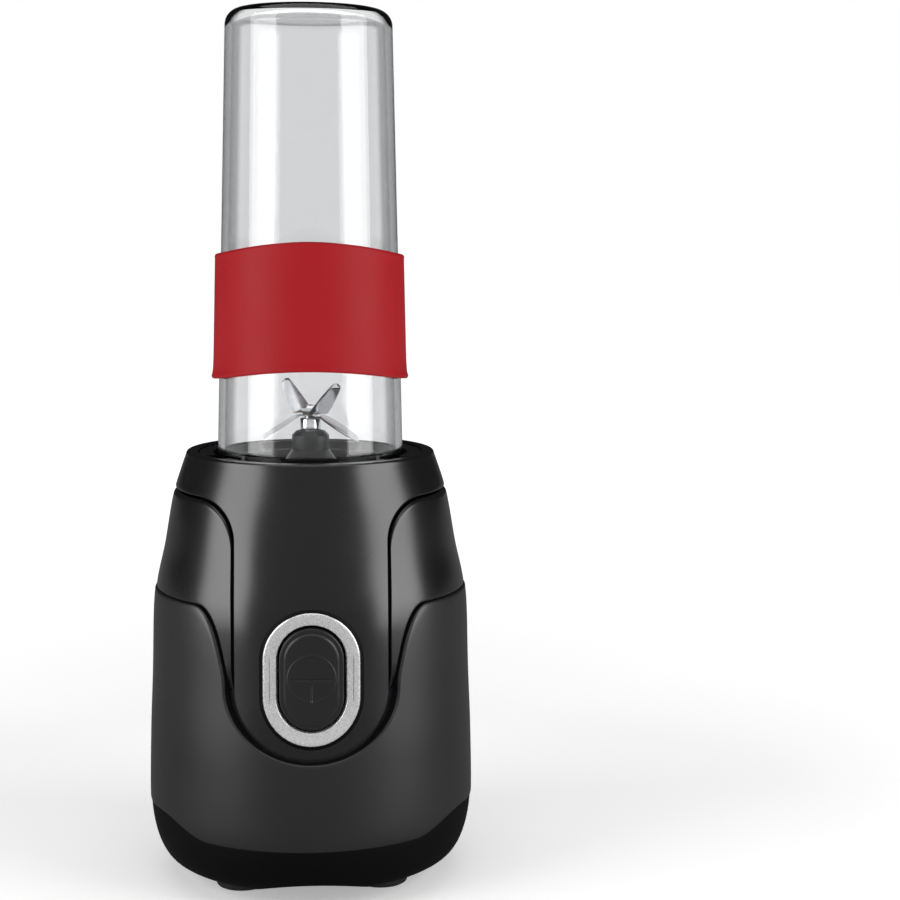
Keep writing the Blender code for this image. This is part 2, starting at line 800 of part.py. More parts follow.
def make_bottom_screws():
    low = plate_low_z() - GAP
    tip = low + SCREW_LENGTH
    under = low - SCREW_HEAD_H
    profile = [(0.0, tip), (SCREW_R, tip - MARGIN), (SCREW_R, low), (SCREW_HEAD_R, low),
               (SCREW_HEAD_R * SCREW_HEAD_TAPER, under), (0.0, under)]
    for i, (x, y) in enumerate(screw_places(), start=1):
        screw = turned("bottom_screw_" + str(i), profile, steel("bottom_screw_" + str(i)),
                       FINE_SEGMENTS)
        screw.location = (x, y, 0.0)
        smooth(screw)


# ---------------------------------------------------------------- button

def make_button_bezel():
    low = BUTTON_Z - BEZEL_HALF_Z - 2 * MARGIN
    high = BUTTON_Z + BEZEL_HALF_Z + 2 * MARGIN
    profile = shell_profile(low, high, -BEZEL_PROUD, BEZEL_PROUD + BEZEL_DEPTH)
    part = turned("button_bezel", profile, look("button_bezel", (0.8, 0.8, 0.82), 0.2, 0.9),
                  OUTER_SEGMENTS)
    keep(part, button_hole("bezel_outline", BEZEL_HALF_X, BEZEL_HALF_Z))
    cut(part, button_hole("bezel_mouth", BEZEL_HALF_X - BEZEL_WIDTH, BEZEL_HALF_Z - BEZEL_WIDTH))
    return smooth(part)


def button_back_y():
    """The plane of the button's back, behind the skin at the button's height."""
    return BUTTON_DEPTH - skin(BUTTON_Z)


def frame_back_y():
    return button_back_y() + FRAME_DEPTH


def button_half_sizes():
    shrink = BEZEL_WIDTH + BUTTON_CLEAR
    return BEZEL_HALF_X - shrink, BEZEL_HALF_Z - shrink


def make_power_button():
    half_x, half_z = button_half_sizes()
    back_y = button_back_y()
    low = BUTTON_Z - half_z - MARGIN
    high = BUTTON_Z + half_z + MARGIN
    outside = [(skin(z) - BUTTON_SUNK, z) for z in skin_heights(low, high)]
    profile = [(0.0, high)] + outside + [(0.0, low)]
    part = turned("power_button", profile, black_plastic("power_button", 0.45), OUTER_SEGMENTS)
    keep(part, button_hole("button_outline", half_x, half_z, back_y))
    stem = rod_mesh("button_stem", STEM_R, (0, back_y - MARGIN, BUTTON_Z),
                    (0, back_y + STEM_LENGTH, BUTTON_Z), "Y")
    join(part, add_cutter("button_stem", stem))
    smooth(part)
    hang("button_travel", (0.0, back_y, BUTTON_Z), [part])


def frame_half_sizes():
    grow = FRAME_WALL - BEZEL_WIDTH
    return BEZEL_HALF_X + grow, BEZEL_HALF_Z + grow


def make_switch_frame():
    """The open-fronted case behind the button."""
    half_x, half_z = frame_half_sizes()
    front = FRAME_CLEAR - math.sqrt((skin(BUTTON_Z) - BEZEL_DEPTH) ** 2 - half_x ** 2)
    back = frame_back_y()
    mesh = prism_mesh("switch_frame", stadium(half_x, half_z, BUTTON_Z, 8), front,
                      back + FRAME_WALL)
    part = add_part("switch_frame", mesh, look("switch_frame", (0.03, 0.03, 0.03), 0.7))
    pocket = stadium(half_x - FRAME_WALL, half_z - FRAME_WALL, BUTTON_Z, 8)
    cut(part, add_cutter("frame_pocket", prism_mesh("frame_pocket", pocket, front - MARGIN, back)))
    hole = through_rod("stem_hole", STEM_R + GAP, 0, 0, BUTTON_Z, "Y")
    cut(part, add_cutter("stem_hole", hole))
    return smooth(part)


def make_button_spring():
    """The return spring at its pressed length, round the stem."""
    length = FRAME_DEPTH - BUTTON_TRAVEL - 2 * GAP
    mesh = coil_mesh("button_spring", BUTTON_SPRING_R, BUTTON_SPRING_WIRE_R, 0.0, length,
                     BUTTON_SPRING_TURNS, (0.0, 0.0))
    mesh.transform(Matrix.Translation((0.0, frame_back_y() - GAP, BUTTON_Z))
                   @ Matrix.Rotation(math.pi / 2, 4, "X"))
    return smooth(add_part("button_spring", mesh, steel("button_spring")))


def make_power_switch():
    front = button_back_y() + STEM_LENGTH + BUTTON_TRAVEL + GAP
    mesh = box_mesh("power_switch", (-SWITCH_HALF_X, front, BUTTON_Z - SWITCH_HALF_Z),
                    (SWITCH_HALF_X, front + SWITCH_DEPTH, BUTTON_Z + SWITCH_HALF_Z))
    part = add_part("power_switch", mesh, look("power_switch", (0.12, 0.02, 0.02), 0.5))
    bevel(part, SWITCH_BEVEL)
    return part


# ---------------------------------------------------------------- cup seat

def lug_turns(extra=0.0):
    return around(LUG_COUNT, LUG_ANGLE + extra)


def make_cup_seat():
    """The collar's liner: entry slots in its rim and a running groove for the cup's lugs."""
    top = BASE_H - SEAT_TOP_DROP
    groove_low = LUG_Z - LUG_CLEAR
    groove_high = LUG_Z + LUG_H + LUG_CLEAR
    groove_r = CUP_R + LUG_REACH + LUG_CLEAR
    floor_low = SEAT_FLOOR_Z - SEAT_FLOOR_T
    profile = [(SEAT_OUTER_R, top), (SEAT_OUTER_R, floor_low), (SEAT_HOLE_R, floor_low),
               (SEAT_HOLE_R, SEAT_FLOOR_Z), (SEAT_BORE_R, SEAT_FLOOR_Z),
               (SEAT_BORE_R, groove_low), (groove_r, groove_low), (groove_r, groove_high),
               (SEAT_BORE_R, groove_high), (SEAT_BORE_R, top)]
    part = turned("cup_seat", profile, black_plastic("cup_seat", 0.5), OUTER_SEGMENTS)
    half = LUG_LENGTH / 2 + LUG_CLEAR
    slot = box_mesh("slot", (SEAT_BORE_R - SLOT_ROOT, -half, groove_low + MARGIN),
                    (groove_r, half, top + MARGIN))
    slots = copies_mesh("entry_slots", slot, lug_turns(UNLOCK_ANGLE))
    cut(part, add_cutter("entry_slots", slots))
    x, y = pin_place()
    hole = rod_mesh("pin_hole", PIN_R + GAP, (x, y, floor_low - MARGIN),
                    (x, y, groove_low + 2 * MARGIN), "Z", HOLE_SEGMENTS)
    cut(part, add_cutter("pin_hole", hole))
    return smooth(part)


def pin_place():
    """The interlock pin stands under the trailing end of the first lug."""
    back = (LUG_LENGTH / 2 - PIN_UNDER_LUG) / PIN_CIRCLE_R
    angle = LUG_ANGLE - back
    return PIN_CIRCLE_R * math.cos(angle), PIN_CIRCLE_R * math.sin(angle)


def make_interlock_pin():
    x, y = pin_place()
    top = LUG_Z - PIN_LUG_CLEAR
    flange_low = PIN_LOW_Z - PIN_FLANGE_H
    profile = [(0.0, top), (PIN_R, top - PIN_CHAMFER), (PIN_R, PIN_LOW_Z), (PIN_FLANGE_R, PIN_LOW_Z),
               (PIN_FLANGE_R, flange_low), (0.0, flange_low)]
    part = turned("interlock_pin", profile, look("interlock_pin", (0.6, 0.6, 0.58), 0.4),
                  FINE_SEGMENTS)
    part.location = (x, y, 0.0)
    return smooth(part)


def make_interlock_spring():
    x, y = pin_place()
    high = PIN_LOW_Z - PIN_FLANGE_H - GAP
    mesh = coil_mesh("interlock_spring", PIN_SPRING_R, PIN_SPRING_WIRE_R, high - PIN_SPRING_LEN,
                     high, PIN_SPRING_TURNS, (x, y))
    return smooth(add_part("interlock_spring", mesh, steel("interlock_spring")))


def make_interlock_switch():
    x, y = pin_place()
    top = PIN_LOW_Z - PIN_FLANGE_H - PIN_SPRING_LEN - 2 * GAP
    mesh = box_mesh("interlock_switch", (-PIN_SWITCH_IN, -PIN_SWITCH_HALF, top - PIN_SWITCH_H),
                    (PIN_SWITCH_OUT, PIN_SWITCH_HALF, top))
    mesh.transform(Matrix.Translation((x, y, 0.0)) @ Matrix.Rotation(math.atan2(y, x), 4, "Z"))
    part = add_part("interlock_switch", mesh, look("interlock_switch", (0.03, 0.03, 0.03), 0.5))
    bevel(part, PIN_SWITCH_BEVEL)
    return part


# ---------------------------------------------------------------- blade cup

def make_blade_cup():
    floor_top = CUP_FLOOR_Z + CUP_FLOOR_T
    bottom = SEAT_FLOOR_Z + GAP
    bore = BUSH_R + GAP
    dome = [(DOME_R - DOME_CORNER, DOME_TOP_Z), (DOME_R, DOME_TOP_Z - DOME_CORNER),
            (DOME_R, floor_top + DOME_SHOULDER_RISE),
            (DOME_FOOT_R - DOME_STEP, floor_top + DOME_STEP_RISE), (DOME_FOOT_R, floor_top)]
    inner_wall = CUP_R - CUP_WALL
    profile = ([(bore, DOME_TOP_Z)] + dome
               + [(inner_wall, floor_top), (inner_wall, CUP_TOP_Z), (CUP_R, CUP_TOP_Z),
                  (CUP_R, bottom), (inner_wall, bottom), (inner_wall, CUP_FLOOR_Z),
                  (bore, CUP_FLOOR_Z)])
    part = turned("blade_cup", profile, black_plastic("blade_cup", 0.35), OUTER_SEGMENTS)
    half = LUG_LENGTH / 2
    lug = box_mesh("lug", (CUP_R - LUG_ROOT, -half, LUG_Z), (CUP_R + LUG_REACH, half, LUG_Z + LUG_H))
    lugs = copies_mesh("cup_lugs", lug, lug_turns())
    join(part, add_cutter("cup_lugs", lugs))
    return smooth(part)


def make_cup_small_parts():
    floor_top = CUP_FLOOR_Z + CUP_FLOOR_T
    seal_low = DOME_TOP_Z - SHAFT_SEAL_H
    bore = BLADE_SHAFT_R + BUSH_BORE_CLEAR
    ring("gasket", NECK_R - BOTTLE_WALL - GASKET_INSET, NECK_R - PRESS_FIT, floor_top + GAP,
         floor_top + GAP + GASKET_T, look("gasket", (0.75, 0.75, 0.74), 0.6))
    ring("shaft_bush", bore, BUSH_R, CUP_FLOOR_Z + GAP, seal_low - GAP,
         look("shaft_bush", (0.70, 0.50, 0.25), 0.4, 1.0), SMALL_SEGMENTS)
    ring("shaft_seal", bore + PRESS_FIT, BUSH_R, seal_low, DOME_TOP_Z - PRESS_FIT,
         rubber("shaft_seal"), SMALL_SEGMENTS)


def bottle_outer_radius(z):
    share = (z - CUP_TOP_Z) / (BOTTLE_TOP_Z - CUP_TOP_Z)
    return BOTTLE_LOW_R + (BOTTLE_TOP_R - BOTTLE_LOW_R) * share


def make_bottle():
    shoulder = CUP_TOP_Z + GAP
    mouth = CUP_FLOOR_Z + CUP_FLOOR_T + GASKET_T + 2 * GAP
    rise = BOTTLE_CORNER
    top_r = bottle_outer_radius(BOTTLE_TOP_Z - rise)
    corner = [(top_r - rise * (1 - math.cos(a)), BOTTLE_TOP_Z - rise * (1 - math.sin(a)))
              for a in np.radians(CORNER_ANGLES)]
    roof = BOTTLE_TOP_Z - BOTTLE_FLOOR
    inner_rise = rise - BOTTLE_WALL
    inner_r = top_r - BOTTLE_WALL
    vault = [(inner_r - inner_rise * (1 - math.cos(a)), roof - inner_rise * (1 - math.sin(a)))
             for a in np.radians(VAULT_ANGLES)]
    neck_inner = NECK_R - BOTTLE_WALL
    low_r = bottle_outer_radius(shoulder)
    neck = [(low_r, shoulder), (NECK_R, shoulder), (NECK_R, mouth), (neck_inner, mouth),
            (neck_inner, shoulder), (low_r - BOTTLE_WALL, shoulder + BOTTLE_SHOULDER_RISE)]
    profile = [(0.0, BOTTLE_TOP_Z)] + corner + neck + vault + [(0.0, roof)]
    part = turned("bottle", profile, look("bottle", (0.95, 0.96, 0.96), 0.05, alpha=0.3),
                  OUTER_SEGMENTS)
    return smooth(part)


def make_grip_sleeve():
    low = SLEEVE_LOW_Z
    high = low + SLEEVE_H
    inside = [(bottle_outer_radius(z) + GAP, z) for z in (low, (low + high) / 2, high)]
    outside = [(r + SLEEVE_T, z) for r, z in reversed(inside)]
    flare = [(outside[0][0], high), (outside[1][0], outside[1][1]),
             (outside[2][0], low + SLEEVE_LIP_RISE), (outside[2][0] + SLEEVE_LIP, low)]
    blank = spin(add_cutter("sleeve_blank", turned_mesh("grip_sleeve", flare + inside)),
                 OUTER_SEGMENTS)
    graph = bpy.context.evaluated_depsgraph_get()
    mesh = bpy.data.meshes.new_from_object(blank.evaluated_get(graph))
    bpy.data.objects.remove(blank, do_unlink=True)
    for vertex in mesh.vertices:
        turn = math.atan2(vertex.co.x, -vertex.co.y)
        wave = SLEEVE_WAVE * math.cos(2 * turn)
        radius = math.hypot(vertex.co.x, vertex.co.y)
        follow = wave * (BOTTLE_TOP_R - BOTTLE_LOW_R) / (BOTTLE_TOP_Z - CUP_TOP_Z)
        vertex.co.x *= (radius + follow) / radius
        vertex.co.y *= (radius + follow) / radius
        vertex.co.z += wave
    return smooth(add_part("grip_sleeve", mesh, look("grip_sleeve", (0.45, 0.012, 0.018), 0.6)))


# ---------------------------------------------------------------- blades

def blade_mesh(name, reach, rise, hub_z, turn):
    """A flat two-armed strip, tapered to its tips and bent up or down outside its hub."""
    frame = bmesh.new()
    bmesh.ops.create_grid(frame, x_segments=10, y_segments=2, size=1.0)
    for vertex in frame.verts:
        along = abs(vertex.co.x)
        place = reach * along
        past_root = max(0.0, place - BLADE_ROOT)
        share = past_root / (reach - BLADE_ROOT)
        half = BLADE_HUB_HALF + (BLADE_TIP_HALF - BLADE_HUB_HALF) * share ** BLADE_TAPER
        vertex.co = (math.copysign(place, vertex.co.x), vertex.co.y * half,
                     hub_z + rise * share)
    mesh = bpy.data.meshes.new(name)
    frame.to_mesh(mesh)
    frame.free()
    mesh.transform(Matrix.Rotation(turn, 4, "Z"))
    return mesh


def make_blade(name, reach, rise, hub_z, turn):
    part = add_part(name, blade_mesh(name, reach, rise, hub_z + BLADE_T / 2, turn), steel(name))
    solid = part.modifiers.new("thickness", "SOLIDIFY")
    solid.thickness = BLADE_T
    solid.offset = 0.0
    hole = through_rod(name + "_hole", BLADE_SHAFT_R + PRESS_FIT, 0, 0, hub_z, "Z")
    cut(part, add_cutter(name + "_hole", hole))
    return part


def dog_teeth(name, low, high, turn):
    """Three dog teeth between two heights; the disc that carries them is joined on."""
    half = DOG_WIDTH / 2
    tooth = box_mesh(name + "_tooth", (DOG_INNER_R, -half, low), (DOG_R, half, high))
    return add_cutter(name, copies_mesh(name, tooth, around(DOG_COUNT, turn)))


def make_couplers():
    """Driving dogs on the motor shaft, and driven dogs half a pitch round under the cup."""
    disc_top = COUPLER_MESH_Z - GAP
    disc_low = disc_top - COUPLER_DISC_H
    teeth_top = COUPLER_MESH_Z + DOG_H
    drive = ring("drive_coupler", MOTOR_SHAFT_R + GAP, COUPLER_R, disc_low, disc_top,
                 look("drive_coupler", (0.05, 0.05, 0.05), 0.6), SMALL_SEGMENTS)
    join(drive, dog_teeth("drive_dogs", disc_low + MARGIN, teeth_top, 0.0))
    smooth(drive)
    driven_low = teeth_top + GAP
    driven = ring("driven_coupler", BLADE_SHAFT_R + GAP, COUPLER_R, driven_low,
                  driven_low + COUPLER_DISC_H, look("driven_coupler", (0.05, 0.05, 0.05), 0.6),
                  SMALL_SEGMENTS)
    join(driven, dog_teeth("driven_dogs", COUPLER_MESH_Z, driven_low + MARGIN,
                           math.pi / DOG_COUNT))
    smooth(driven)
    return drive, driven


def make_blade_set(driven):
    shaft_low = COUPLER_MESH_Z + DOG_H + GAP
    nut_low = BLADE_HUB_Z + 2 * BLADE_T + 2 * GAP
    shaft = disc("blade_shaft", BLADE_SHAFT_R, shaft_low, nut_low - GAP, steel("blade_shaft"))
    spacer = ring("blade_spacer", BLADE_SHAFT_R + PRESS_FIT, SPACER_R, DOME_TOP_Z + RUN_GAP,
                  BLADE_HUB_Z - GAP, steel("blade_spacer"), SMALL_SEGMENTS)
    low = make_blade("lower_blade", LOW_BLADE_REACH, LOW_BLADE_RISE, BLADE_HUB_Z, LOW_BLADE_TURN)
    high = make_blade("upper_blade", HIGH_BLADE_REACH, HIGH_BLADE_RISE,
                      BLADE_HUB_Z + BLADE_T + GAP, HIGH_BLADE_TURN)
    sides = [(radius, nut_low + rise) for radius, rise in NUT_PROFILE]
    nut = turned("blade_nut", [(0.0, nut_low + NUT_H)] + sides + [(0.0, nut_low)],
                 steel("blade_nut"), NUT_SIDES)
    for piece in (shaft, spacer):
        smooth(piece)
    hang("blade_axis", (0.0, 0.0, BLADE_HUB_Z), [shaft, spacer, low, high, nut, driven])


# ---------------------------------------------------------------- motor

def make_rotor(drive):
    core_high = CORE_LOW_Z + CORE_H
    bore = MOTOR_SHAFT_R + PRESS_FIT
    low_end = CORE_LOW_Z - GAP
    shaft = disc("motor_shaft", MOTOR_SHAFT_R, bearing_heights()[0] - SHAFT_TAIL,
                 COUPLER_MESH_Z - GAP, steel("motor_shaft"))
    core = ring("rotor_core", bore, ROTOR_R, CORE_LOW_Z, core_high,
                look("rotor_core", (0.35, 0.36, 0.38), 0.4, 1.0))
    upper = turned("rotor_winding_upper", winding_profile(bore, core_high + GAP, 1),
                   copper("rotor_winding_upper"))
    lower = turned("rotor_winding_lower", winding_profile(bore, low_end, -1),
                   copper("rotor_winding_lower"))
    commutator_high = low_end - WINDING_H - GAP
    commutator = ring("commutator", bore, COMMUTATOR_R, commutator_high - COMMUTATOR_H,
                      commutator_high, copper("commutator"))
    fan = make_fan()
    pieces = [shaft, core, upper, lower, commutator, fan, drive]
    for piece in pieces:
        smooth(piece)
    hang("motor_axis", (0.0, 0.0, CORE_LOW_Z), pieces)


def winding_profile(bore, start, direction):
    """A rounded end winding on one side of the rotor core."""
    end = start + direction * WINDING_H
    bulge = start + direction * WINDING_H * WINDING_BULGE
    near, middle, far = [ROTOR_R - inset for inset in WINDING_INSETS]
    points = [(bore, start), (near, start), (middle, bulge), (far, end), (bore, end)]
    return points[::-1] if direction > 0 else points[1:] + points[:1]


def make_fan():
    low = bearing_heights()[1] + BEARING_H + FAN_RISE
    high = low + FAN_BLADE_H
    bore = MOTOR_SHAFT_R + PRESS_FIT
    profile = [(FAN_HUB_R, high), (FAN_HUB_R, low + FAN_DISC_T), (FAN_R, low + FAN_DISC_T),
               (FAN_R, low), (bore, low), (bore, high)]
    part = turned("cooling_fan", profile, look("cooling_fan", (0.75, 0.74, 0.70), 0.5))
    blade = box_mesh("blade", (FAN_BLADE_START, -FAN_BLADE_HALF_T, low + FAN_DISC_T / 2),
                     (FAN_R - FAN_BLADE_INSET, FAN_BLADE_HALF_T, high - FAN_BLADE_DROP))
    blades = copies_mesh("fan_blades", blade, around(FAN_BLADES))
    join(part, add_cutter("fan_blades", blades))
    return part


def make_stator():
    core_high = CORE_LOW_Z + CORE_H
    bore = ROTOR_R + AIR_GAP
    part = ring("stator_core", bore, STATOR_R, CORE_LOW_Z, core_high,
                look("stator_core", (0.30, 0.31, 0.33), 0.45, 1.0))
    smooth(part)
    for name, low, high in (("field_coil_upper", core_high + GAP, core_high + FIELD_COIL_H),
                            ("field_coil_lower", CORE_LOW_Z - FIELD_COIL_H, CORE_LOW_Z - GAP)):
        outer = STATOR_R - FIELD_COIL_INSET
        inner = bore + FIELD_COIL_BULGE
        coil = turned(name, [(outer, high), (outer + FIELD_COIL_BULGE, (low + high) / 2),
                      (outer, low), (inner, low), (inner, high)], copper(name))
        smooth(coil)


def bearing_heights():
    """Undersides of the lower and upper bearings."""
    commutator_low = CORE_LOW_Z - 2 * GAP - WINDING_H - COMMUTATOR_H
    return commutator_low - GAP - BEARING_H, CORE_LOW_Z + CORE_H + 2 * GAP + WINDING_H


def make_bearings():
    bore = MOTOR_SHAFT_R + BEARING_CLEAR
    for name, z in zip(("lower_bearing", "upper_bearing"), bearing_heights()):
        part = ring(name, bore, BEARING_R, z, z + BEARING_H,
                    look(name, (0.55, 0.56, 0.58), 0.3, 1.0))
        smooth(part)


def post_x():
    """Distance from the axis to the posts between the two brackets."""
    return STATOR_R + POST_R + POST_CLEAR


def make_brackets():
    """Two flat bridges across the motor, each with an eye for its bearing."""
    half_length = post_x() + POST_R + POST_CLEAR
    for name, z in zip(("lower_bracket", "upper_bracket"), bearing_heights()):
        low = z + (BEARING_H - BRACKET_T) / 2
        mesh = box_mesh(name, (-half_length, -BRACKET_HALF_WIDTH, low),
                        (half_length, BRACKET_HALF_WIDTH, low + BRACKET_T))
        part = add_part(name, mesh, look(name, (0.62, 0.63, 0.64), 0.5, 1.0))
        eye = through_rod("eye", BEARING_R + GAP, 0, 0, low + BRACKET_T / 2, "Z")
        cut(part, add_cutter(name + "_eye", eye))


def make_motor_mounts():
    """Posts between the brackets, and the rubber mounts that carry the lower one."""
    low_z, high_z = [z + (BEARING_H - BRACKET_T) / 2 for z in bearing_heights()]
    mount_low = plate_low_z() + PLATE_T + GAP
    for side, x in (("left", -post_x()), ("right", post_x())):
        post = rod_mesh("motor_post_" + side, POST_R, (x, 0, low_z + BRACKET_T + GAP),
                        (x, 0, high_z - GAP), "Z", FINE_SEGMENTS)
        smooth(add_part("motor_post_" + side, post, steel("motor_post_" + side)))
        mount = rod_mesh("motor_mount_" + side, MOUNT_R, (x, 0, mount_low),
                         (x, 0, low_z - GAP), "Z")
        smooth(add_part("motor_mount_" + side, mount, rubber("motor_mount_" + side)))


def side_box_mesh(name, side, near, far, half_y, half_z):
    """A block at the commutator's height, between two distances out from its face."""
    middle = CORE_LOW_Z - 2 * GAP - WINDING_H - COMMUTATOR_H / 2
    start = COMMUTATOR_R + BRUSH_CLEAR
    xs = sorted((side * (start + near), side * (start + far)))
    return box_mesh(name, (xs[0], -half_y, middle - half_z), (xs[1], half_y, middle + half_z))


def make_brushes():
    """Carbon brushes that ride on the commutator from both sides, in their holders."""
    for name, side in (("left", -1), ("right", 1)):
        brush = "brush_" + name
        mesh = side_box_mesh(brush, side, 0.0, BRUSH_LENGTH, BRUSH_HALF_Y, BRUSH_HALF_Z)
        add_part(brush, mesh, look(brush, (0.04, 0.04, 0.045), 0.7))
        holder = "brush_holder_" + name
        mesh = side_box_mesh(holder, side, HOLDER_START, HOLDER_END, HOLDER_HALF_Y, HOLDER_HALF_Z)
        part = add_part(holder, mesh, look(holder, (0.72, 0.55, 0.2), 0.4, 1.0))
        way = side_box_mesh("brush_way", side, -MARGIN, BRUSH_LENGTH + BRUSH_WAY_SPARE,
                            BRUSH_HALF_Y + GAP, BRUSH_HALF_Z + GAP)
        cut(part, add_cutter("brush_way_" + name, way))


def make_control_board():
    """The circuit board stands behind the motor, across the back."""
    y = STATOR_R + BOARD_OFFSET
    mesh = box_mesh("control_board", (-BOARD_HALF_X, y, CORE_LOW_Z - BOARD_BELOW),
                    (BOARD_HALF_X, y + BOARD_T, CORE_LOW_Z + CORE_H + BOARD_ABOVE))
    add_part("control_board", mesh, look("control_board", (0.02, 0.12, 0.05), 0.5))


def main():
    make_upper_housing()
    make_flank("flank_left", -1)
    make_flank("flank_right", 1)
    make_lower_shell()
    make_base_skirt()
    make_inner_housing()
    make_cable_inlet()
    make_bottom_plate()
    make_feet()
    make_bottom_screws()
    make_button_bezel()
    make_power_button()
    make_switch_frame()
    make_button_spring()
    make_power_switch()
    make_cup_seat()
    make_interlock_pin()
    make_interlock_spring()
    make_interlock_switch()
    make_blade_cup()
    make_cup_small_parts()
    make_bottle()
    make_grip_sleeve()
    drive, driven = make_couplers()
    make_blade_set(driven)
    make_rotor(drive)
    make_stator()
    make_bearings()
    make_brackets()
    make_motor_mounts()
    make_brushes()
    make_control_board()


main()
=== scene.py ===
"""Looks of a personal countertop blender: the fine outer surfaces, the materials and the studio.

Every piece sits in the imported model's own frame: metres, +Z up, the button facing -Y.
"""
import json
import math

import bmesh
import bpy
import numpy as np
from mathutils import Matrix, Vector


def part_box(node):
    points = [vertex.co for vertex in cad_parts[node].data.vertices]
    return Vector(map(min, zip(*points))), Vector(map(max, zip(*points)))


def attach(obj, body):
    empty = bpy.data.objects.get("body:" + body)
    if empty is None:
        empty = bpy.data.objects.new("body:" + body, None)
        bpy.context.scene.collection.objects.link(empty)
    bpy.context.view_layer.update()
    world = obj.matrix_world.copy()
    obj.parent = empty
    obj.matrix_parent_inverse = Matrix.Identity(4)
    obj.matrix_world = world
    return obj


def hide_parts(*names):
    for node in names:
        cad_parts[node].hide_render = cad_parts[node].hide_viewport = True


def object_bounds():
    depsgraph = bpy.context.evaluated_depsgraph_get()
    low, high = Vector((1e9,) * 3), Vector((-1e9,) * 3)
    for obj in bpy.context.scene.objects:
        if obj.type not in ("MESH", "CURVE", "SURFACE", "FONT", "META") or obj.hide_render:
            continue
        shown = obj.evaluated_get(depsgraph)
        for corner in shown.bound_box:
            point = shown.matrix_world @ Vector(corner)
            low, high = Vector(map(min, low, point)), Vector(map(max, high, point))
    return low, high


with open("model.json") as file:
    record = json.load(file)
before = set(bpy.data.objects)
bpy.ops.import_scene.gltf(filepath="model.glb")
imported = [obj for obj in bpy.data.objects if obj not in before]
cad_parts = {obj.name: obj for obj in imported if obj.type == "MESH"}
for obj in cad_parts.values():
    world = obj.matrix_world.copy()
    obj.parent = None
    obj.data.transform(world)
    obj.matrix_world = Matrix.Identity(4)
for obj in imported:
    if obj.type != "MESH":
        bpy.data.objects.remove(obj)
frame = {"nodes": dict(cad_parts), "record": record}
CAD_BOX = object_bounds()


def low(node):
    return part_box(node)[0]


def high(node):
    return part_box(node)[1]


# Motor base
GAP = 0.0003
SIDE_R = 0.055  # radius that turns angles into lengths when points are spaced along an edge
BASE_H = high("upper_housing").z
BASE_R = high("lower_shell").x
SKIRT_BOTTOM_Z = low("base_skirt").z
COLLAR_R = 0.0500
WIDEST_Z = 0.0343
SKIRT_TUCK = 0.0100
SKIN_SHARES = ((0.0, 0.0), (0.173, 0.03), (0.368, 0.098), (0.537, 0.139), (0.606, 0.187),
               (0.729, 0.416), (0.873, 0.651), (0.983, 0.946), (1.0, 1.0))
SEAM_FRONT_Z = 0.0265
SEAM_SIDE_RISE = 0.0060
ARCH_HALF_WIDTH = 0.0225
ARCH_HEIGHT = 0.0040
PANEL_DEPTH = 0.0030
SEAM_CLIMB_START, SEAM_CLIMB_SPAN = 0.62, 0.28
SEAM_DROP_START, SEAM_DROP_SPAN, SEAM_DROP_SHARE = 0.92, 0.13, 0.4
SKIRT_INSET = 0.0004
BRIM_R = 0.0011
MOUTH_EDGE = 0.0006
MOUTH_DEPTH = 0.0030

# Front and back panels, flanks, and the lower shell's upper edge
BIB_HALF_WIDTH = 0.0298
BIB_BEND_Z = 0.0880
BIB_BOTTOM_Z = low("upper_housing").z
COLLAR_EDGE_Z = 0.1600
COLLAR_EDGE_X = 0.0440
COLLAR_CURVE_Z = 0.1440
COLLAR_CURVE_PULL = 0.0085
LOWER_EDGE_Z = high("lower_shell").z
LOWER_EDGE_X = 0.0455
LOWER_THROAT_X = 0.0352
LOWER_THROAT_Z = 0.1010
LOWER_EDGE_PULL = 0.0055
THROAT_PULL_ABOVE = (0.0019, 0.0090)
THROAT_PULL_BELOW = (0.0009, 0.0042)
LOWER_BEND_PULL = 0.0045
GROOVE_WIDTH = 0.0020
LOWER_BEND_X = 0.0334
U_EXPONENT = 2.0
FLANK_RECESS = 0.0009
FLANK_LEVEL_X = 0.0520
FLANK_RECESS_POWER = 1.3
FLANK_SHOULDER = 0.0016
FLANK_SHOULDER_DROP = 0.0009
FLANK_SETTLE = 0.0005
FLANK_TAIL_LENGTH = 0.010
FLANK_TAIL_DROP = 0.0018
BIB_FILLET = 0.0006
FLANK_FILLET = 0.0005
LOWER_FILLET = 0.0010
SKIRT_FILLET = 0.0004

# Button and bezel
BUTTON_Z = (low("button_bezel").z + high("button_bezel").z) / 2
BEZEL_HALF_X = high("button_bezel").x
BEZEL_HALF_Z = high("button_bezel").z - BUTTON_Z
BEZEL_WIDTH = 0.0050
BEZEL_PROUD = 0.0004
BEZEL_CREST_R = 0.0009
BEZEL_SLOPE = 0.0011
BEZEL_SLOPE_POWER = 1.4
BEZEL_INNER_R = 0.0006
BEZEL_OUTER_WALL = 0.0025
BEZEL_INNER_WALL = 0.0035
BEZEL_GROOVE_WIDTH = 0.0012
PIT_INSET = 0.0028
PIT_DEPTH = 0.0090
BUTTON_HALF_X = high("power_button").x
BUTTON_HALF_Z = high("power_button").z - BUTTON_Z
BUTTON_SUNK = 0.0006
BUTTON_WALL = 0.0028
BUTTON_EDGE_R = 0.0007
BUTTON_STEP_INSET = 0.0019
BUTTON_STEP_WIDTH = 0.0008
BUTTON_STEP_RISE = 0.0006
MARK_RING_R = 0.0090
MARK_RING_SHIFT = 0.0003
MARK_RING_WIDTH = 0.00035
MARK_RING_RISE = 0.00022
MARK_RING_BOTTOM = 0.0088
MARK_LINE_WIDTH = 0.0003
MARK_LINE_DEPTH = 0.00030
MARK_BAR_HALF = 0.0080
MARK_STEM_TOP, MARK_STEM_BOTTOM = 0.0018, 0.0092

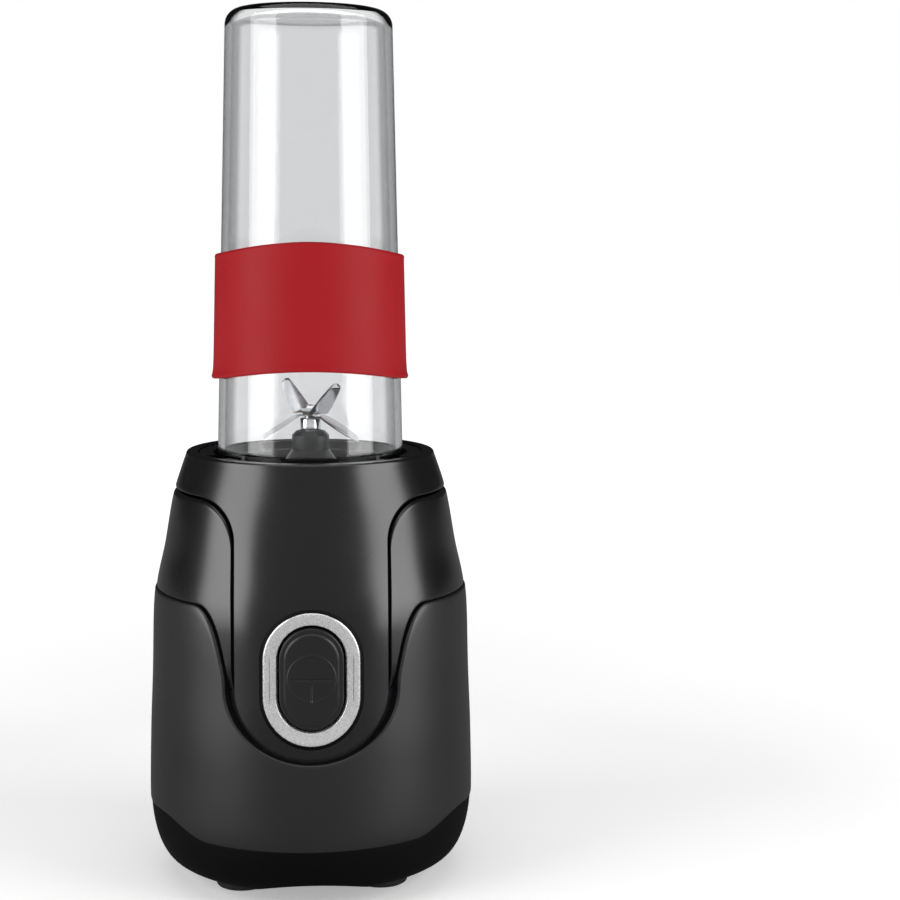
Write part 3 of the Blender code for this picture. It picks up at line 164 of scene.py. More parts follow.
# Bottle and sleeve
BOTTLE_TOP_Z = high("bottle").z
BOTTLE_SHOULDER_Z = BASE_H - 0.0036
BOTTLE_LOW_R = high("bottle").x
BOTTLE_TOP_R = 0.0331
BOTTLE_NECK_R = 0.0361
BOTTLE_WALL = 0.0028
BOTTLE_FLOOR = 0.0032
BOTTLE_STEP = 0.0040
BOTTLE_TOP_CORNER = 0.0062
BOTTLE_INNER_CORNER = 0.0042
SLEEVE_WAVE = 0.0026
SLEEVE_THICKNESS = 0.0021
SLEEVE_FILLET = 0.0006
SLEEVE_FLARE, SLEEVE_FLARE_LENGTH = 0.0004, 0.010
SLEEVE_LOW_RIM, SLEEVE_LOW_RIM_WIDTH = 0.00045, 0.0016
SLEEVE_HIGH_RIM, SLEEVE_HIGH_RIM_WIDTH = 0.0002, 0.0013

# Blades
BLADE_ROOT = 0.0048
BLADE_THICKNESS = 0.0010
BLADE_ROOT_HALF = 0.0048
BLADE_TIP_HALF = 0.0020
BLADE_TAPER = 1.8
BLADE_BEND = 0.04  # share of the arm over which it bends out of the hub
BLADE_POINT_START = 0.93
BLADE_POINT_BACK = 0.00072
LOW_BLADE = {"turn": math.radians(-12.0), "rise": -0.0095, "reach": 0.0203, "tilt": 0.40}
HIGH_BLADE = {"turn": math.radians(125.0), "rise": 0.0125, "reach": 0.0185, "tilt": 0.0}
SPACER_BORE, SPACER_R = 0.0026, 0.0042

# Feet and cable inlet
FOOT_RIM_HEIGHT = 0.0008
FOOT_INSIDE = 0.0043
INLET_BORE = 0.0034

# Studio
ROOM_FRONT = 0.26
ROOM_BACK = 0.02
ROOM_FRONT_Y, ROOM_BACK_Y = -0.9, -0.2
MIRRORED_FLOOR = 0.10
MIRROR_DULLING = 0.92
FLOOR_GLOW_NEAR = 0.35
FLOOR_GLOW_FAR = 1.0
FLOOR_GLOW_START, FLOOR_GLOW_END = 0.25, 1.1
FLOOR_DROP = 0.00005
BOX_TURN = math.radians(65.0)
BOX_HEIGHT = 0.40
BOX_SIZE = (0.70, 1.1)
BOX_POWER = 8.8
TOP_BOX_SIZE = (1.2, 1.2)
TOP_BOX_POWER = 6.0
CAMERA_PLACE = (0.0, -0.735, 0.266)
CAMERA_LENS = 72.2
CAMERA_PAN, CAMERA_TILT, CAMERA_ROLL = -4.45, 7.137, 0.31  # degrees


def turn_of(x, z):
    """Angle from the front at which the outer skin has that x."""
    return np.arcsin(np.clip(np.asarray(x) / skin(np.asarray(z)), -1.0, 1.0))


def monotone(x, xs, ys):
    """A smooth curve through points, which never overshoots them."""
    xs, ys = np.asarray(xs), np.asarray(ys)
    step = np.diff(xs)
    slope = np.diff(ys) / step
    before, after = slope[:-1], slope[1:]
    rate = np.zeros(len(xs))
    same = before * after > 0
    rate[1:-1][same] = 2 * before[same] * after[same] / (before[same] + after[same])
    rate[-1] = slope[-1]
    i = np.clip(np.searchsorted(xs, x, side="right") - 1, 0, len(xs) - 2)
    t = (x - xs[i]) / step[i]
    t2, t3 = t * t, t * t * t
    return (ys[i] * (2 * t3 - 3 * t2 + 1) + ys[i + 1] * (3 * t2 - 2 * t3)
            + step[i] * (rate[i] * (t3 - 2 * t2 + t) + rate[i + 1] * (t3 - t2)))


def skin(z):
    """Outside radius of the motor base at a height."""
    z = np.asarray(z, float)
    share = np.clip((z - WIDEST_Z) / (BASE_H - WIDEST_Z), 0.0, 1.0)
    drop = monotone(share, *zip(*SKIN_SHARES))
    above = BASE_R - drop * (BASE_R - COLLAR_R)
    down = np.clip((WIDEST_Z - z) / (WIDEST_Z - SKIRT_BOTTOM_Z), 0.0, 1.0)
    below = BASE_R - SKIRT_TUCK * (1.0 - np.sqrt(1.0 - down * down))
    return np.where(z >= WIDEST_Z, above, below)


def on_skin(turn, z, out=0.0):
    """Points on the outer skin at angles from the front, raised outwards."""
    radius = skin(z) + out
    return np.stack([radius * np.sin(turn), -radius * np.cos(turn), z + 0.0 * turn], axis=-1)


# ---------------------------------------------------------------- mesh tools

def add_grid(shape, points, wrap=False):
    """Quads between rows of points, with the last column joined to the first if it wraps."""
    rows, columns = points.shape[:2]
    verts = [[shape.verts.new(points[i, j]) for j in range(columns)] for i in range(rows)]
    last = columns if wrap else columns - 1
    for i in range(rows - 1):
        for j in range(last):
            k = (j + 1) % columns
            shape.faces.new((verts[i][j], verts[i][k], verts[i + 1][k], verts[i + 1][j]))


def weld(shape, distance=0.000002):
    bmesh.ops.remove_doubles(shape, verts=shape.verts, dist=distance)
    bmesh.ops.dissolve_degenerate(shape, edges=shape.edges, dist=0.0000005)
    bmesh.ops.recalc_face_normals(shape, faces=shape.faces)


def face_outwards(shape):
    """Turns the whole sheet round if most of it faces the axis."""
    facing = sum(f.calc_area() * (f.normal.x * c.x + f.normal.y * c.y)
                 for f in shape.faces for c in [f.calc_center_median()])
    if facing < 0:
        bmesh.ops.reverse_faces(shape, faces=shape.faces)
    shape.normal_update()


def add_rim(shape, radius, depth, steps=4):
    """Rounds over every open edge of a sheet and turns it inwards as a short wall."""
    shape.normal_update()
    open_edges = [e for e in shape.edges if e.is_boundary]
    outward = {}
    for edge in open_edges:
        loop = edge.link_loops[0]
        start, end = loop.vert, loop.link_loop_next.vert
        along = (end.co - start.co).normalized()
        away = along.cross(edge.link_faces[0].normal).normalized()
        for vert in (start, end):
            outward.setdefault(vert, []).append(away)
    rings = {}
    for vert, aways in outward.items():
        away = sum(aways, Vector()).normalized()
        away *= 1.0 / max(0.6, away.dot(aways[0]))
        normal = vert.normal.copy()
        points = []
        for step in range(1, steps + 1):
            angle = math.pi / 2 * step / steps
            points.append(vert.co + away * radius * math.sin(angle)
                          - normal * radius * (1 - math.cos(angle)))
        points.append(points[-1] - normal * depth)
        rings[vert] = [vert] + [shape.verts.new(p) for p in points]
    for edge in open_edges:
        loop = edge.link_loops[0]
        first, second = rings[loop.vert], rings[loop.link_loop_next.vert]
        for k in range(len(first) - 1):
            shape.faces.new((second[k], first[k], first[k + 1], second[k + 1]))
    shape.normal_update()


def finish_shape(shape, name):
    mesh = bpy.data.meshes.new(name)
    shape.to_mesh(mesh)
    shape.free()
    obj = bpy.data.objects.new(name, mesh)
    bpy.context.scene.collection.objects.link(obj)
    return obj


def settle(obj, body, material, nodes=(), angle=None):
    """Gives a piece its body and its finish, and hides the CAD nodes that it stands for."""
    obj.data.materials.clear()
    obj.data.materials.append(material)
    obj.data.shade_smooth()
    if angle is not None:
        obj.data.set_sharp_from_angle(angle=math.radians(angle))
    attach(obj, body)
    if nodes:
        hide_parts(*nodes)
    return obj


def turned(name, profile, segments=160):
    """A turned shape from (radius, z) points; radius 0 closes it on the axis."""
    shape = bmesh.new()
    turns = np.linspace(0.0, math.tau, segments, endpoint=False)
    profile = np.asarray(profile)
    points = np.stack([profile[:, :1] * np.sin(turns), -profile[:, :1] * np.cos(turns),
                       profile[:, 1:] + 0.0 * turns], axis=-1)
    add_grid(shape, points, wrap=True)
    weld(shape)
    return finish_shape(shape, name)


def rounded(points, radii, steps=5, closed=True):
    """A profile with its corners rounded, each by its own radius."""
    result = []
    count = len(points)
    for i, (point, radius) in enumerate(zip(points, radii)):
        here = np.array(point, float)
        if radius == 0.0 or (not closed and i in (0, count - 1)):
            result.append(tuple(here))
            continue
        before = np.array(points[i - 1], float) - here
        after = np.array(points[(i + 1) % count], float) - here
        before /= np.linalg.norm(before)
        after /= np.linalg.norm(after)
        half = math.acos(float(np.clip(before @ after, -1, 1))) / 2
        reach = radius / math.tan(half)
        middle = (before + after) / np.linalg.norm(before + after)
        centre = here + middle * radius / math.sin(half)
        start = here + before * reach - centre
        end = here + after * reach - centre
        sweep = math.atan2(start[0] * end[1] - start[1] * end[0], float(start @ end))
        for k in range(steps + 1):
            angle = sweep * k / steps
            turn = np.array([[math.cos(angle), -math.sin(angle)],
                             [math.sin(angle), math.cos(angle)]])
            result.append(tuple(centre + turn @ start))
    return result


def closed_turned(name, points, radii, segments=160, steps=5):
    """A turned ring whose profile closes on itself, with rounded corners."""
    outline = rounded(points, radii, steps)
    return turned(name, outline + outline[:1], segments)


# ---------------------------------------------------------------- materials

def shader_of(name):
    material = bpy.data.materials.new(name)
    material.use_nodes = True
    return material, material.node_tree, material.node_tree.nodes["Principled BSDF"]


def ramp_between(tree, source, socket, low_value, high_value, start=0.35, end=0.65):
    """Feeds a shader socket with a value that a texture moves between two limits."""
    ramp = tree.nodes.new("ShaderNodeMapRange")
    ramp.inputs["From Min"].default_value = start
    ramp.inputs["From Max"].default_value = end
    ramp.inputs["To Min"].default_value = low_value
    ramp.inputs["To Max"].default_value = high_value
    tree.links.new(source, ramp.inputs["Value"])
    tree.links.new(ramp.outputs["Result"], socket)


def noise(tree, scale, detail=4.0, stretch=None):
    """A noise texture in object space, stretched along an axis if asked."""
    place = tree.nodes.new("ShaderNodeTexCoord")
    texture = tree.nodes.new("ShaderNodeTexNoise")
    texture.inputs["Scale"].default_value = scale
    texture.inputs["Detail"].default_value = detail
    if stretch is None:
        tree.links.new(place.outputs["Object"], texture.inputs["Vector"])
    else:
        mapping = tree.nodes.new("ShaderNodeMapping")
        mapping.inputs["Scale"].default_value = stretch
        tree.links.new(place.outputs["Object"], mapping.inputs["Vector"])
        tree.links.new(mapping.outputs["Vector"], texture.inputs["Vector"])
    return texture.outputs["Fac"]


def colour_between(tree, source, shader, first, second):
    mix = tree.nodes.new("ShaderNodeMix")
    mix.data_type = "RGBA"
    mix.inputs[6].default_value = (*first, 1.0)
    mix.inputs[7].default_value = (*second, 1.0)
    tree.links.new(source, mix.inputs["Factor"])
    tree.links.new(mix.outputs[2], shader.inputs["Base Color"])


def add_bump(tree, source, shader, distance, strength=0.3):
    bump = tree.nodes.new("ShaderNodeBump")
    bump.inputs["Strength"].default_value = strength
    bump.inputs["Distance"].default_value = distance
    tree.links.new(source, bump.inputs["Height"])
    tree.links.new(bump.outputs["Normal"], shader.inputs["Normal"])


def plastic(name, colour, roughness, grain=2200.0, bump=0.00002, spread=0.05, strength=0.25,
            ior=1.5):
    """Moulded plastic: a fine grain, and slow changes in shade and gloss."""
    material, tree, shader = shader_of(name)
    shader.inputs["IOR"].default_value = ior
    slow = noise(tree, 22.0, 3.0)
    fine = noise(tree, grain, 2.0)
    lighter = tuple(min(1.0, c * 1.25) for c in colour)
    colour_between(tree, slow, shader, colour, lighter)
    ramp_between(tree, slow, shader.inputs["Roughness"], roughness - spread, roughness + spread)
    add_bump(tree, fine, shader, bump, strength)
    return material


def rubber(name, colour, roughness=0.75):
    """Soft black or pale rubber: a coarser grain and a wider change of gloss."""
    return plastic(name, colour, roughness, 1500.0, 0.00005, 0.08, 0.4)


def metal(name, colour, roughness, stretch=(1.0, 1.0, 1.0), grain=900.0, bump=0.000008,
          metallic=1.0):
    """Steel or another metal with fine working marks, drawn out along an axis if asked."""
    material, tree, shader = shader_of(name)
    shader.inputs["Metallic"].default_value = metallic
    marks = noise(tree, grain, 3.0, stretch)
    darker = tuple(c * 0.82 for c in colour)
    colour_between(tree, marks, shader, darker, colour)
    ramp_between(tree, marks, shader.inputs["Roughness"], roughness * 0.75, roughness * 1.35)
    add_bump(tree, marks, shader, bump, 0.2)
    return material


def clear_plastic():
    """Polished clear copolyester with faint mould ripples; its colour turns dark grey where it is
    seen edge on, as painted shade along the walls.
    """
    material, tree, shader = shader_of("clear_copolyester")
    shader.inputs["Transmission Weight"].default_value = 1.0
    shader.inputs["IOR"].default_value = 1.50
    # Painted shade: the colour goes from clear to dark grey where the wall is seen edge on.
    facing = tree.nodes.new("ShaderNodeLayerWeight")
    edge = tree.nodes.new("ShaderNodeMapRange")
    edge.interpolation_type = "SMOOTHSTEP"
    edge.inputs["From Min"].default_value = 0.46
    edge.inputs["From Max"].default_value = 0.62
    tree.links.new(facing.outputs["Facing"], edge.inputs["Value"])
    colour_between(tree, edge.outputs["Result"], shader, (0.81, 0.815, 0.82),
                   (0.20, 0.205, 0.21))
    ripple = noise(tree, 30.0, 2.0, (1.0, 1.0, 0.15))
    ramp_between(tree, ripple, shader.inputs["Roughness"], 0.0, 0.03)
    add_bump(tree, ripple, shader, 0.0002, 0.05)
    return material


def silicone():
    """Matt red silicone: a soft sheen, dust-fine grain and slightly uneven colour."""
    material, tree, shader = shader_of("red_silicone")
    slow = noise(tree, 35.0, 4.0)
    fine = noise(tree, 2600.0, 2.0)
    colour_between(tree, slow, shader, (0.29, 0.006, 0.009), (0.33, 0.008, 0.012))
    ramp_between(tree, slow, shader.inputs["Roughness"], 0.44, 0.54)
    shader.inputs["Specular IOR Level"].default_value = 0.16
    add_bump(tree, fine, shader, 0.00003, 0.35)
    return material


LOOKS = {
    "satin_black": plastic("satin_black", (0.0045, 0.0045, 0.005), 0.25, 1800.0, 0.000012,
                           0.03, 0.15, 1.68),
    "shell_black": plastic("shell_black", (0.007, 0.007, 0.0075), 0.37, 1800.0, 0.00002,
                           0.03, 0.3, 1.75),
    "matt_black": plastic("matt_black", (0.0012, 0.0012, 0.0013), 0.6, 1500.0, 0.00004,
                          ior=1.24),
    "grey_plastic": plastic("grey_plastic", (0.03, 0.03, 0.033), 0.6),
    "button_ring": metal("button_ring", (0.90, 0.90, 0.91), 0.26, grain=700.0, metallic=0.6),
    "button_black": plastic("button_black", (0.010, 0.010, 0.011), 0.36, 1800.0, 0.00002, 0.03),
    "seat_black": plastic("seat_black", (0.008, 0.008, 0.009), 0.4),
    "cup_black": plastic("cup_black", (0.010, 0.010, 0.011), 0.28),
    "clear_plastic": clear_plastic(),
    "red_silicone": silicone(),
    "blade_steel": metal("blade_steel", (0.80, 0.80, 0.82), 0.16, (1.0, 0.08, 1.0), 1400.0),
    "shaft_steel": metal("shaft_steel", (0.70, 0.70, 0.72), 0.25, (0.2, 0.2, 4.0)),
    "fastener_steel": metal("fastener_steel", (0.58, 0.58, 0.60), 0.32),
    "black_rubber": rubber("black_rubber", (0.012, 0.012, 0.012)),
    "seal_silicone": rubber("seal_silicone", (0.70, 0.70, 0.69), 0.55),
    "coupler_nylon": plastic("coupler_nylon", (0.04, 0.04, 0.04), 0.5),
    "white_nylon": plastic("white_nylon", (0.70, 0.69, 0.65), 0.5),
    "bronze": metal("bronze", (0.68, 0.46, 0.22), 0.4),
    "copper_winding": metal("copper_winding", (0.72, 0.30, 0.12), 0.35, (0.3, 0.3, 6.0), 500.0,
                            0.0001),
    "core_steel": metal("core_steel", (0.34, 0.35, 0.37), 0.42, (0.1, 0.1, 9.0), 300.0, 0.0001),
    "bearing_steel": metal("bearing_steel", (0.56, 0.57, 0.59), 0.22, (0.2, 0.2, 4.0)),
    "bracket_alloy": metal("bracket_alloy", (0.60, 0.61, 0.62), 0.5, grain=600.0, bump=0.00005),
    "brush_carbon": plastic("brush_carbon", (0.03, 0.03, 0.035), 0.65),
    "brush_brass": metal("brush_brass", (0.74, 0.55, 0.22), 0.35),
    "board_green": plastic("board_green", (0.01, 0.10, 0.04), 0.35, 900.0),
    "switch_plastic": plastic("switch_plastic", (0.05, 0.015, 0.015), 0.45),
}


# ---------------------------------------------------------------- edges of the panels

# Points along the curved part of a side edge, and along the tail below it
CURVE_STEPS = 20
TAIL_STEPS = 30


def bezier(start, first, second, end, steps):
    """Points after the start of a cubic curve, up to and including its end."""
    t = np.linspace(0.0, 1.0, steps + 1)[1:, None]
    corners = np.array([start, first, second, end])
    return ((1 - t) ** 3 * corners[0] + 3 * t * (1 - t) ** 2 * corners[1]
            + 3 * t * t * (1 - t) * corners[2] + t ** 3 * corners[3])


def u_curve(half_width, bottom_z, steps=28):
    """The round bottom of the front panel, from its side to its middle."""
    angle = np.linspace(0.0, math.pi / 2, steps + 1)
    x = half_width * np.abs(np.cos(angle)) ** (2 / U_EXPONENT)
    z = BIB_BEND_Z - (BIB_BEND_Z - bottom_z) * np.sin(angle) ** (2 / U_EXPONENT)
    x[-1] = 0.0
    return np.stack([x, z], axis=-1)


def line(start, end, steps):
    """Points after the start of a straight run, up to and including its end."""
    t = np.linspace(0.0, 1.0, steps + 1)[1:, None]
    return (1 - t) * np.array(start) + t * np.array(end)


def bib_side(offset):
    """Right edge of the front panel from the collar down to where its round bottom starts."""
    half = BIB_HALF_WIDTH + offset
    level = COLLAR_EDGE_Z - offset
    start = (COLLAR_EDGE_X + offset, level)
    end = (half, COLLAR_CURVE_Z - offset)
    curve = bezier(start, (start[0] - COLLAR_CURVE_PULL, level),
                   (half, end[1] + COLLAR_CURVE_PULL), end, CURVE_STEPS)
    side = line(end, (half, BIB_BEND_Z), TAIL_STEPS)
    return np.vstack([[start], curve, side])


def lower_side(offset):
    """Right upper edge of the lower shell from the side down to the panel's round bottom."""
    half = LOWER_BEND_X + offset
    throat = (LOWER_THROAT_X + offset, LOWER_THROAT_Z - offset)
    start = (LOWER_EDGE_X + offset, LOWER_EDGE_Z - offset)
    (in_above, up_above), (in_below, down_below) = THROAT_PULL_ABOVE, THROAT_PULL_BELOW
    curve = bezier(start, (start[0] - LOWER_EDGE_PULL, start[1]),
                   (throat[0] + in_above, throat[1] + up_above), throat, CURVE_STEPS)
    side = bezier(throat, (throat[0] - in_below, throat[1] - down_below),
                  (half, BIB_BEND_Z + LOWER_BEND_PULL), (half, BIB_BEND_Z), TAIL_STEPS)
    return np.vstack([[start], curve, side])


def as_turns(edge):
    """(x, z) points of an edge as (angle from the front, z)."""
    return np.stack([turn_of(edge[:, 0], edge[:, 1]), edge[:, 1]], axis=-1)


def seam_z(turn, offset):
    """Height of the joint between the lower shell and the skirt at an angle from the front."""
    share = np.abs(np.sin(turn))
    climb = np.clip((share - SEAM_CLIMB_START) / SEAM_CLIMB_SPAN, 0.0, 1.0)
    drop = SEAM_DROP_SHARE * np.clip((share - SEAM_DROP_START) / SEAM_DROP_SPAN, 0.0, 1.0)
    rise = SEAM_SIDE_RISE * (climb * climb * (3 - 2 * climb) - drop)
    return SEAM_FRONT_Z + rise + offset


def in_stadium(x, z, half_x, half_z):
    """How far points lie inside an upright oval; negative outside it."""
    straight = half_z - half_x
    reach = np.clip(np.abs(z - BUTTON_Z) - straight, 0.0, None)
    return half_x - np.hypot(x, reach)


# ---------------------------------------------------------------- upper housing

def bezel_sink(turn, z):
    """The front panel drops away under the bezel, where the button works."""
    x = skin(z) * np.sin(turn)
    inside = in_stadium(x, z, BEZEL_HALF_X - PIT_INSET, BEZEL_HALF_Z - PIT_INSET)
    front = np.cos(turn) > 0
    return np.where(front & (inside > 0), -PIT_DEPTH, 0.0)


def collar_profile():
    """The collar's outside, its rounded brim and the start of its mouth, from below."""
    lip = high("cup_seat").x + GAP
    start_z, end_z = COLLAR_EDGE_Z + BIB_FILLET, BASE_H - BRIM_R
    side = [(float(skin(z)), z) for z in np.linspace(start_z, end_z, 12)]
    top_r = float(skin(end_z)) - BRIM_R
    corner = [(top_r + BRIM_R * math.sin(a), end_z + BRIM_R * math.cos(a))
              for a in np.radians([72, 54, 36, 18, 0])]
    mouth = [(lip + MOUTH_EDGE, BASE_H), (lip + MOUTH_EDGE / 3, BASE_H - MOUTH_EDGE / 3),
             (lip, BASE_H - MOUTH_EDGE), (lip, BASE_H - MOUTH_DEPTH)]
    return side + corner + mouth


def bib_turns(steps=56):
    """Column places across the front panel, as shares of its half width."""
    return np.sin(np.linspace(-math.pi / 2, math.pi / 2, steps + 1))


def make_upper_housing():
    shape = bmesh.new()
    side = as_turns(bib_side(-BIB_FILLET))
    shares = bib_turns()
    reach = side[0, 0]
    front = shares * reach
    flank = np.linspace(reach, math.pi - reach, 34)[1:-1]
    turns = np.concatenate([front, flank, front + math.pi, flank + math.pi])
    profile = np.array(collar_profile())
    ring = np.stack([profile[:, :1] * np.sin(turns), -profile[:, :1] * np.cos(turns),
                     profile[:, 1:] + 0.0 * turns], axis=-1)
    add_grid(shape, ring, wrap=True)
    bottom = u_curve(BIB_HALF_WIDTH - BIB_FILLET, BIB_BOTTOM_Z + BIB_FILLET, 60)
    for back in (0.0, math.pi):
        turn = side[:, :1] * shares
        z = side[:, 1:] + 0.0 * turn
        add_grid(shape, on_skin(turn + back, z, bezel_sink(turn + back, z)))
        x = skin(BIB_BEND_Z) * np.sin(side[-1, 0] * shares)
        end_z = np.interp(np.abs(x), bottom[::-1, 0], bottom[::-1, 1])
        share = np.linspace(0.0, 1.0, 26)[:, None]
        z = BIB_BEND_Z + share * (end_z - BIB_BEND_Z)
        turn = turn_of(x + 0.0 * share, z)
        add_grid(shape, on_skin(turn + back, z, bezel_sink(turn + back, z)))
    weld(shape, 0.00002)
    face_outwards(shape)
    add_rim(shape, BIB_FILLET, PANEL_DEPTH)
    settle(finish_shape(shape, "bib_and_collar"), "base", LOOKS["satin_black"],
           ["upper_housing"])


# ---------------------------------------------------------------- lower shell, flanks, skirt

def around_side(side):
    """An edge from the front, past the side and on to the back, as (angle, z) points."""
    turns = as_turns(side[::-1])
    reach = turns[-1, 0]
    level = side[0, 1]
    middle = np.linspace(reach, math.pi - reach, 42)[1:-1]
    across = np.stack([middle, np.full(len(middle), level)], axis=-1)
    back = turns[::-1].copy()
    back[:, 0] = math.pi - back[:, 0]
    return np.vstack([turns, across, back])


def resample(edge, count):
    """The same edge with evenly spaced points along it."""
    flat = edge * (SIDE_R, 1.0)
    run = np.concatenate([[0.0], np.cumsum(np.linalg.norm(np.diff(flat, axis=0), axis=1))])
    places = np.linspace(0.0, run[-1], count)
    return np.stack([np.interp(places, run, edge[:, 0]), np.interp(places, run, edge[:, 1])], -1)


def make_lower_shell():
    shape = bmesh.new()
    bottom = u_curve(LOWER_BEND_X + LOWER_FILLET, BIB_BOTTOM_Z - GROOVE_WIDTH - LOWER_FILLET)
    side = np.vstack([lower_side(LOWER_FILLET)[:-1], bottom])
    upper = resample(around_side(side), 300)
    lower_turn = np.linspace(0.0, math.pi, 300)
    share = np.concatenate([np.linspace(0.0, 0.2, 8)[:-1], np.linspace(0.2, 1.0, 30)])[:, None]
    start = seam_z(lower_turn, GAP + SKIRT_FILLET)
    turn = lower_turn + share * (upper[:, 0] - lower_turn)
    z = start + share * (upper[:, 1] - start)
    for mirror in (1, -1):
        add_grid(shape, on_skin(mirror * turn, z))
    weld(shape, 0.00001)
    face_outwards(shape)
    add_rim(shape, LOWER_FILLET, PANEL_DEPTH)
    settle(finish_shape(shape, "lower_body"), "base", LOOKS["shell_black"],
           ["lower_shell"])


def flank_edges():
    """Upper and lower edges of a flank, point by point across from each other."""
    upper = bib_side(2.5 * GAP + FLANK_FILLET)[::-1]
    below = lower_side(-GAP - FLANK_FILLET)[::-1]
    pairs = []
    for edge in (upper, below):
        tail, curve = edge[:TAIL_STEPS + 1], edge[TAIL_STEPS:]
        turns = np.vstack([resample(as_turns(tail), 40), resample(as_turns(curve), 40)[1:]])
        reach = turns[-1, 0]
        middle = np.linspace(reach, math.pi / 2, 20)[1:]
        level = np.full(len(middle), turns[-1, 1])
        half = np.vstack([turns, np.stack([middle, level], axis=-1)])
        back = half[::-1][1:].copy()
        back[:, 0] = math.pi - back[:, 0]
        pairs.append(np.vstack([half, back]))
    return pairs


def make_flank(name, side):
    """A side panel with a rolled upper edge; it sinks towards the front and back panels."""
    shape = bmesh.new()
    upper, below = flank_edges()
    share = np.concatenate([np.linspace(0.0, 0.12, 8)[:-1], np.linspace(0.12, 0.88, 18)[:-1],
                            np.linspace(0.88, 1.0, 6)])[:, None]
    turn = upper[:, 0] + share * (below[:, 0] - upper[:, 0])
    z = upper[:, 1] + share * (below[:, 1] - upper[:, 1])
    x = np.abs(skin(z) * np.sin(turn))
    inward = np.clip((FLANK_LEVEL_X - x) / (FLANK_LEVEL_X - BIB_HALF_WIDTH), 0.0, 1.0)
    recess = FLANK_RECESS * inward ** FLANK_RECESS_POWER
    span = np.hypot((upper[:, 0] - below[:, 0]) * SIDE_R, upper[:, 1] - below[:, 1])
    fall = np.clip((FLANK_SHOULDER - share * span) / FLANK_SHOULDER, 0.0, 1.0)
    shoulder = FLANK_SHOULDER_DROP * (1.0 - np.sqrt(1.0 - fall * fall))
    tail = np.clip(1.0 - (z - BIB_BEND_Z) / FLANK_TAIL_LENGTH, 0.0, 1.0)
    lower = FLANK_SETTLE * share + FLANK_TAIL_DROP * tail * tail
    add_grid(shape, on_skin(side * turn, z, -recess - shoulder - lower))
    weld(shape, 0.00001)
    face_outwards(shape)
    add_rim(shape, FLANK_FILLET, PANEL_DEPTH * 0.6)
    settle(finish_shape(shape, name), "base", LOOKS["satin_black"],
           [name.replace("_panel", "")])


def arch_z(across, offset):
    """Underside of the skirt: raised as a shallow arch in the middle of each side."""
    radius = (ARCH_HALF_WIDTH ** 2 + ARCH_HEIGHT ** 2) / (2 * ARCH_HEIGHT)
    centre = SKIRT_BOTTOM_Z + ARCH_HEIGHT - radius
    rise = np.sqrt(np.clip(radius ** 2 - across ** 2, 0.0, None)) + centre
    return np.maximum(SKIRT_BOTTOM_Z, rise) + offset


def make_skirt():
    shape = bmesh.new()
    turns = np.linspace(0.0, math.tau, 481)[:-1]
    nearest = np.minimum(np.abs(np.sin(turns)), np.abs(np.cos(turns)))
    end = arch_z(nearest * (BASE_R - SKIRT_TUCK * 0.8), SKIRT_FILLET)
    start = seam_z(turns, -SKIRT_FILLET)
    share = np.linspace(0.0, 1.0, 26)[:, None]
    z = start + share ** 0.8 * (end - start)
    add_grid(shape, on_skin(turns + 0.0 * share, z, -SKIRT_INSET), wrap=True)
    weld(shape)
    face_outwards(shape)
    add_rim(shape, SKIRT_FILLET, PANEL_DEPTH)
    settle(finish_shape(shape, "skirt"), "base", LOOKS["matt_black"],
           ["base_skirt"])


# ---------------------------------------------------------------- bezel and button

def stadium_point(angle_share, half_x, half_z):
    """Point on an upright oval; the share runs once round it from its right side."""
    straight = half_z - half_x
    length = 4 * straight + math.tau * half_x
    run = (np.asarray(angle_share) % 1.0) * length
    arc = math.pi * half_x
    x = np.zeros_like(run)
    z = np.zeros_like(run)
    stretches = ((0.0, straight), (straight, arc), (straight + arc, 2 * straight),
                 (3 * straight + arc, arc), (3 * straight + 2 * arc, straight))
    for i, (start, size) in enumerate(stretches):
        here = (run >= start) & (run <= start + size + 1e-12)
        t = run[here] - start
        if i == 0:
            x[here], z[here] = half_x, t
        elif i == 1:
            x[here], z[here] = half_x * np.cos(t / half_x), straight + half_x * np.sin(t / half_x)
        elif i == 2:
            x[here], z[here] = -half_x, straight - t
        elif i == 3:
            x[here] = -half_x * np.cos(t / half_x)
            z[here] = -straight - half_x * np.sin(t / half_x)
        else:
            x[here], z[here] = half_x, -straight + t
    return x, BUTTON_Z + z


def make_bezel():
    """A crowned bright ring round the button, and outside it a flat matt black band that is
    painted shade for the groove.
    """
    crest, inner_r = BEZEL_CREST_R, BEZEL_INNER_R
    section = [(0.0, -BEZEL_OUTER_WALL)]
    section += [(crest * (1 - math.cos(a)), BEZEL_PROUD - crest * (1 - math.sin(a)))
                for a in np.radians(np.linspace(0.0, 90.0, 8))]
    flat = BEZEL_WIDTH - inner_r
    section += [(crest + (flat - crest) * t, BEZEL_PROUD - BEZEL_SLOPE * t ** BEZEL_SLOPE_POWER)
                for t in np.linspace(0.0, 1.0, 10)[1:]]
    foot = BEZEL_PROUD - BEZEL_SLOPE
    section += [(flat + inner_r * math.sin(a), foot - inner_r * (1 - math.cos(a)))
                for a in np.radians(np.linspace(0.0, 90.0, 6))[1:]]
    section.append((BEZEL_WIDTH, -BEZEL_INNER_WALL))
    make_oval_band("bezel_ring", section, "button_ring", ["button_bezel"])
    # Painted shade: a flat matt black band just over the skin round the outside of the ring
    # stands in for the groove.
    outer, under, level, lap = -BEZEL_GROOVE_WIDTH, -0.0002, 0.00004, 0.0002
    make_oval_band("painted_groove_shade", ((outer, under), (outer, level), (lap, level)), "matt_black")


def make_oval_band(name, section, look, nodes=()):
    """A band that follows the bezel, from (inset, height over the skin) points."""
    shape = bmesh.new()
    shares = np.linspace(0.0, 1.0, 200, endpoint=False)
    rows = []
    for inset, out in section:
        x, z = stadium_point(shares, BEZEL_HALF_X - inset, BEZEL_HALF_Z - inset)
        rows.append(on_skin(turn_of(x, z), z, out))
    add_grid(shape, np.array(rows), wrap=True)
    weld(shape)
    face_outwards(shape)
    settle(finish_shape(shape, name), "base", LOOKS[look], nodes)


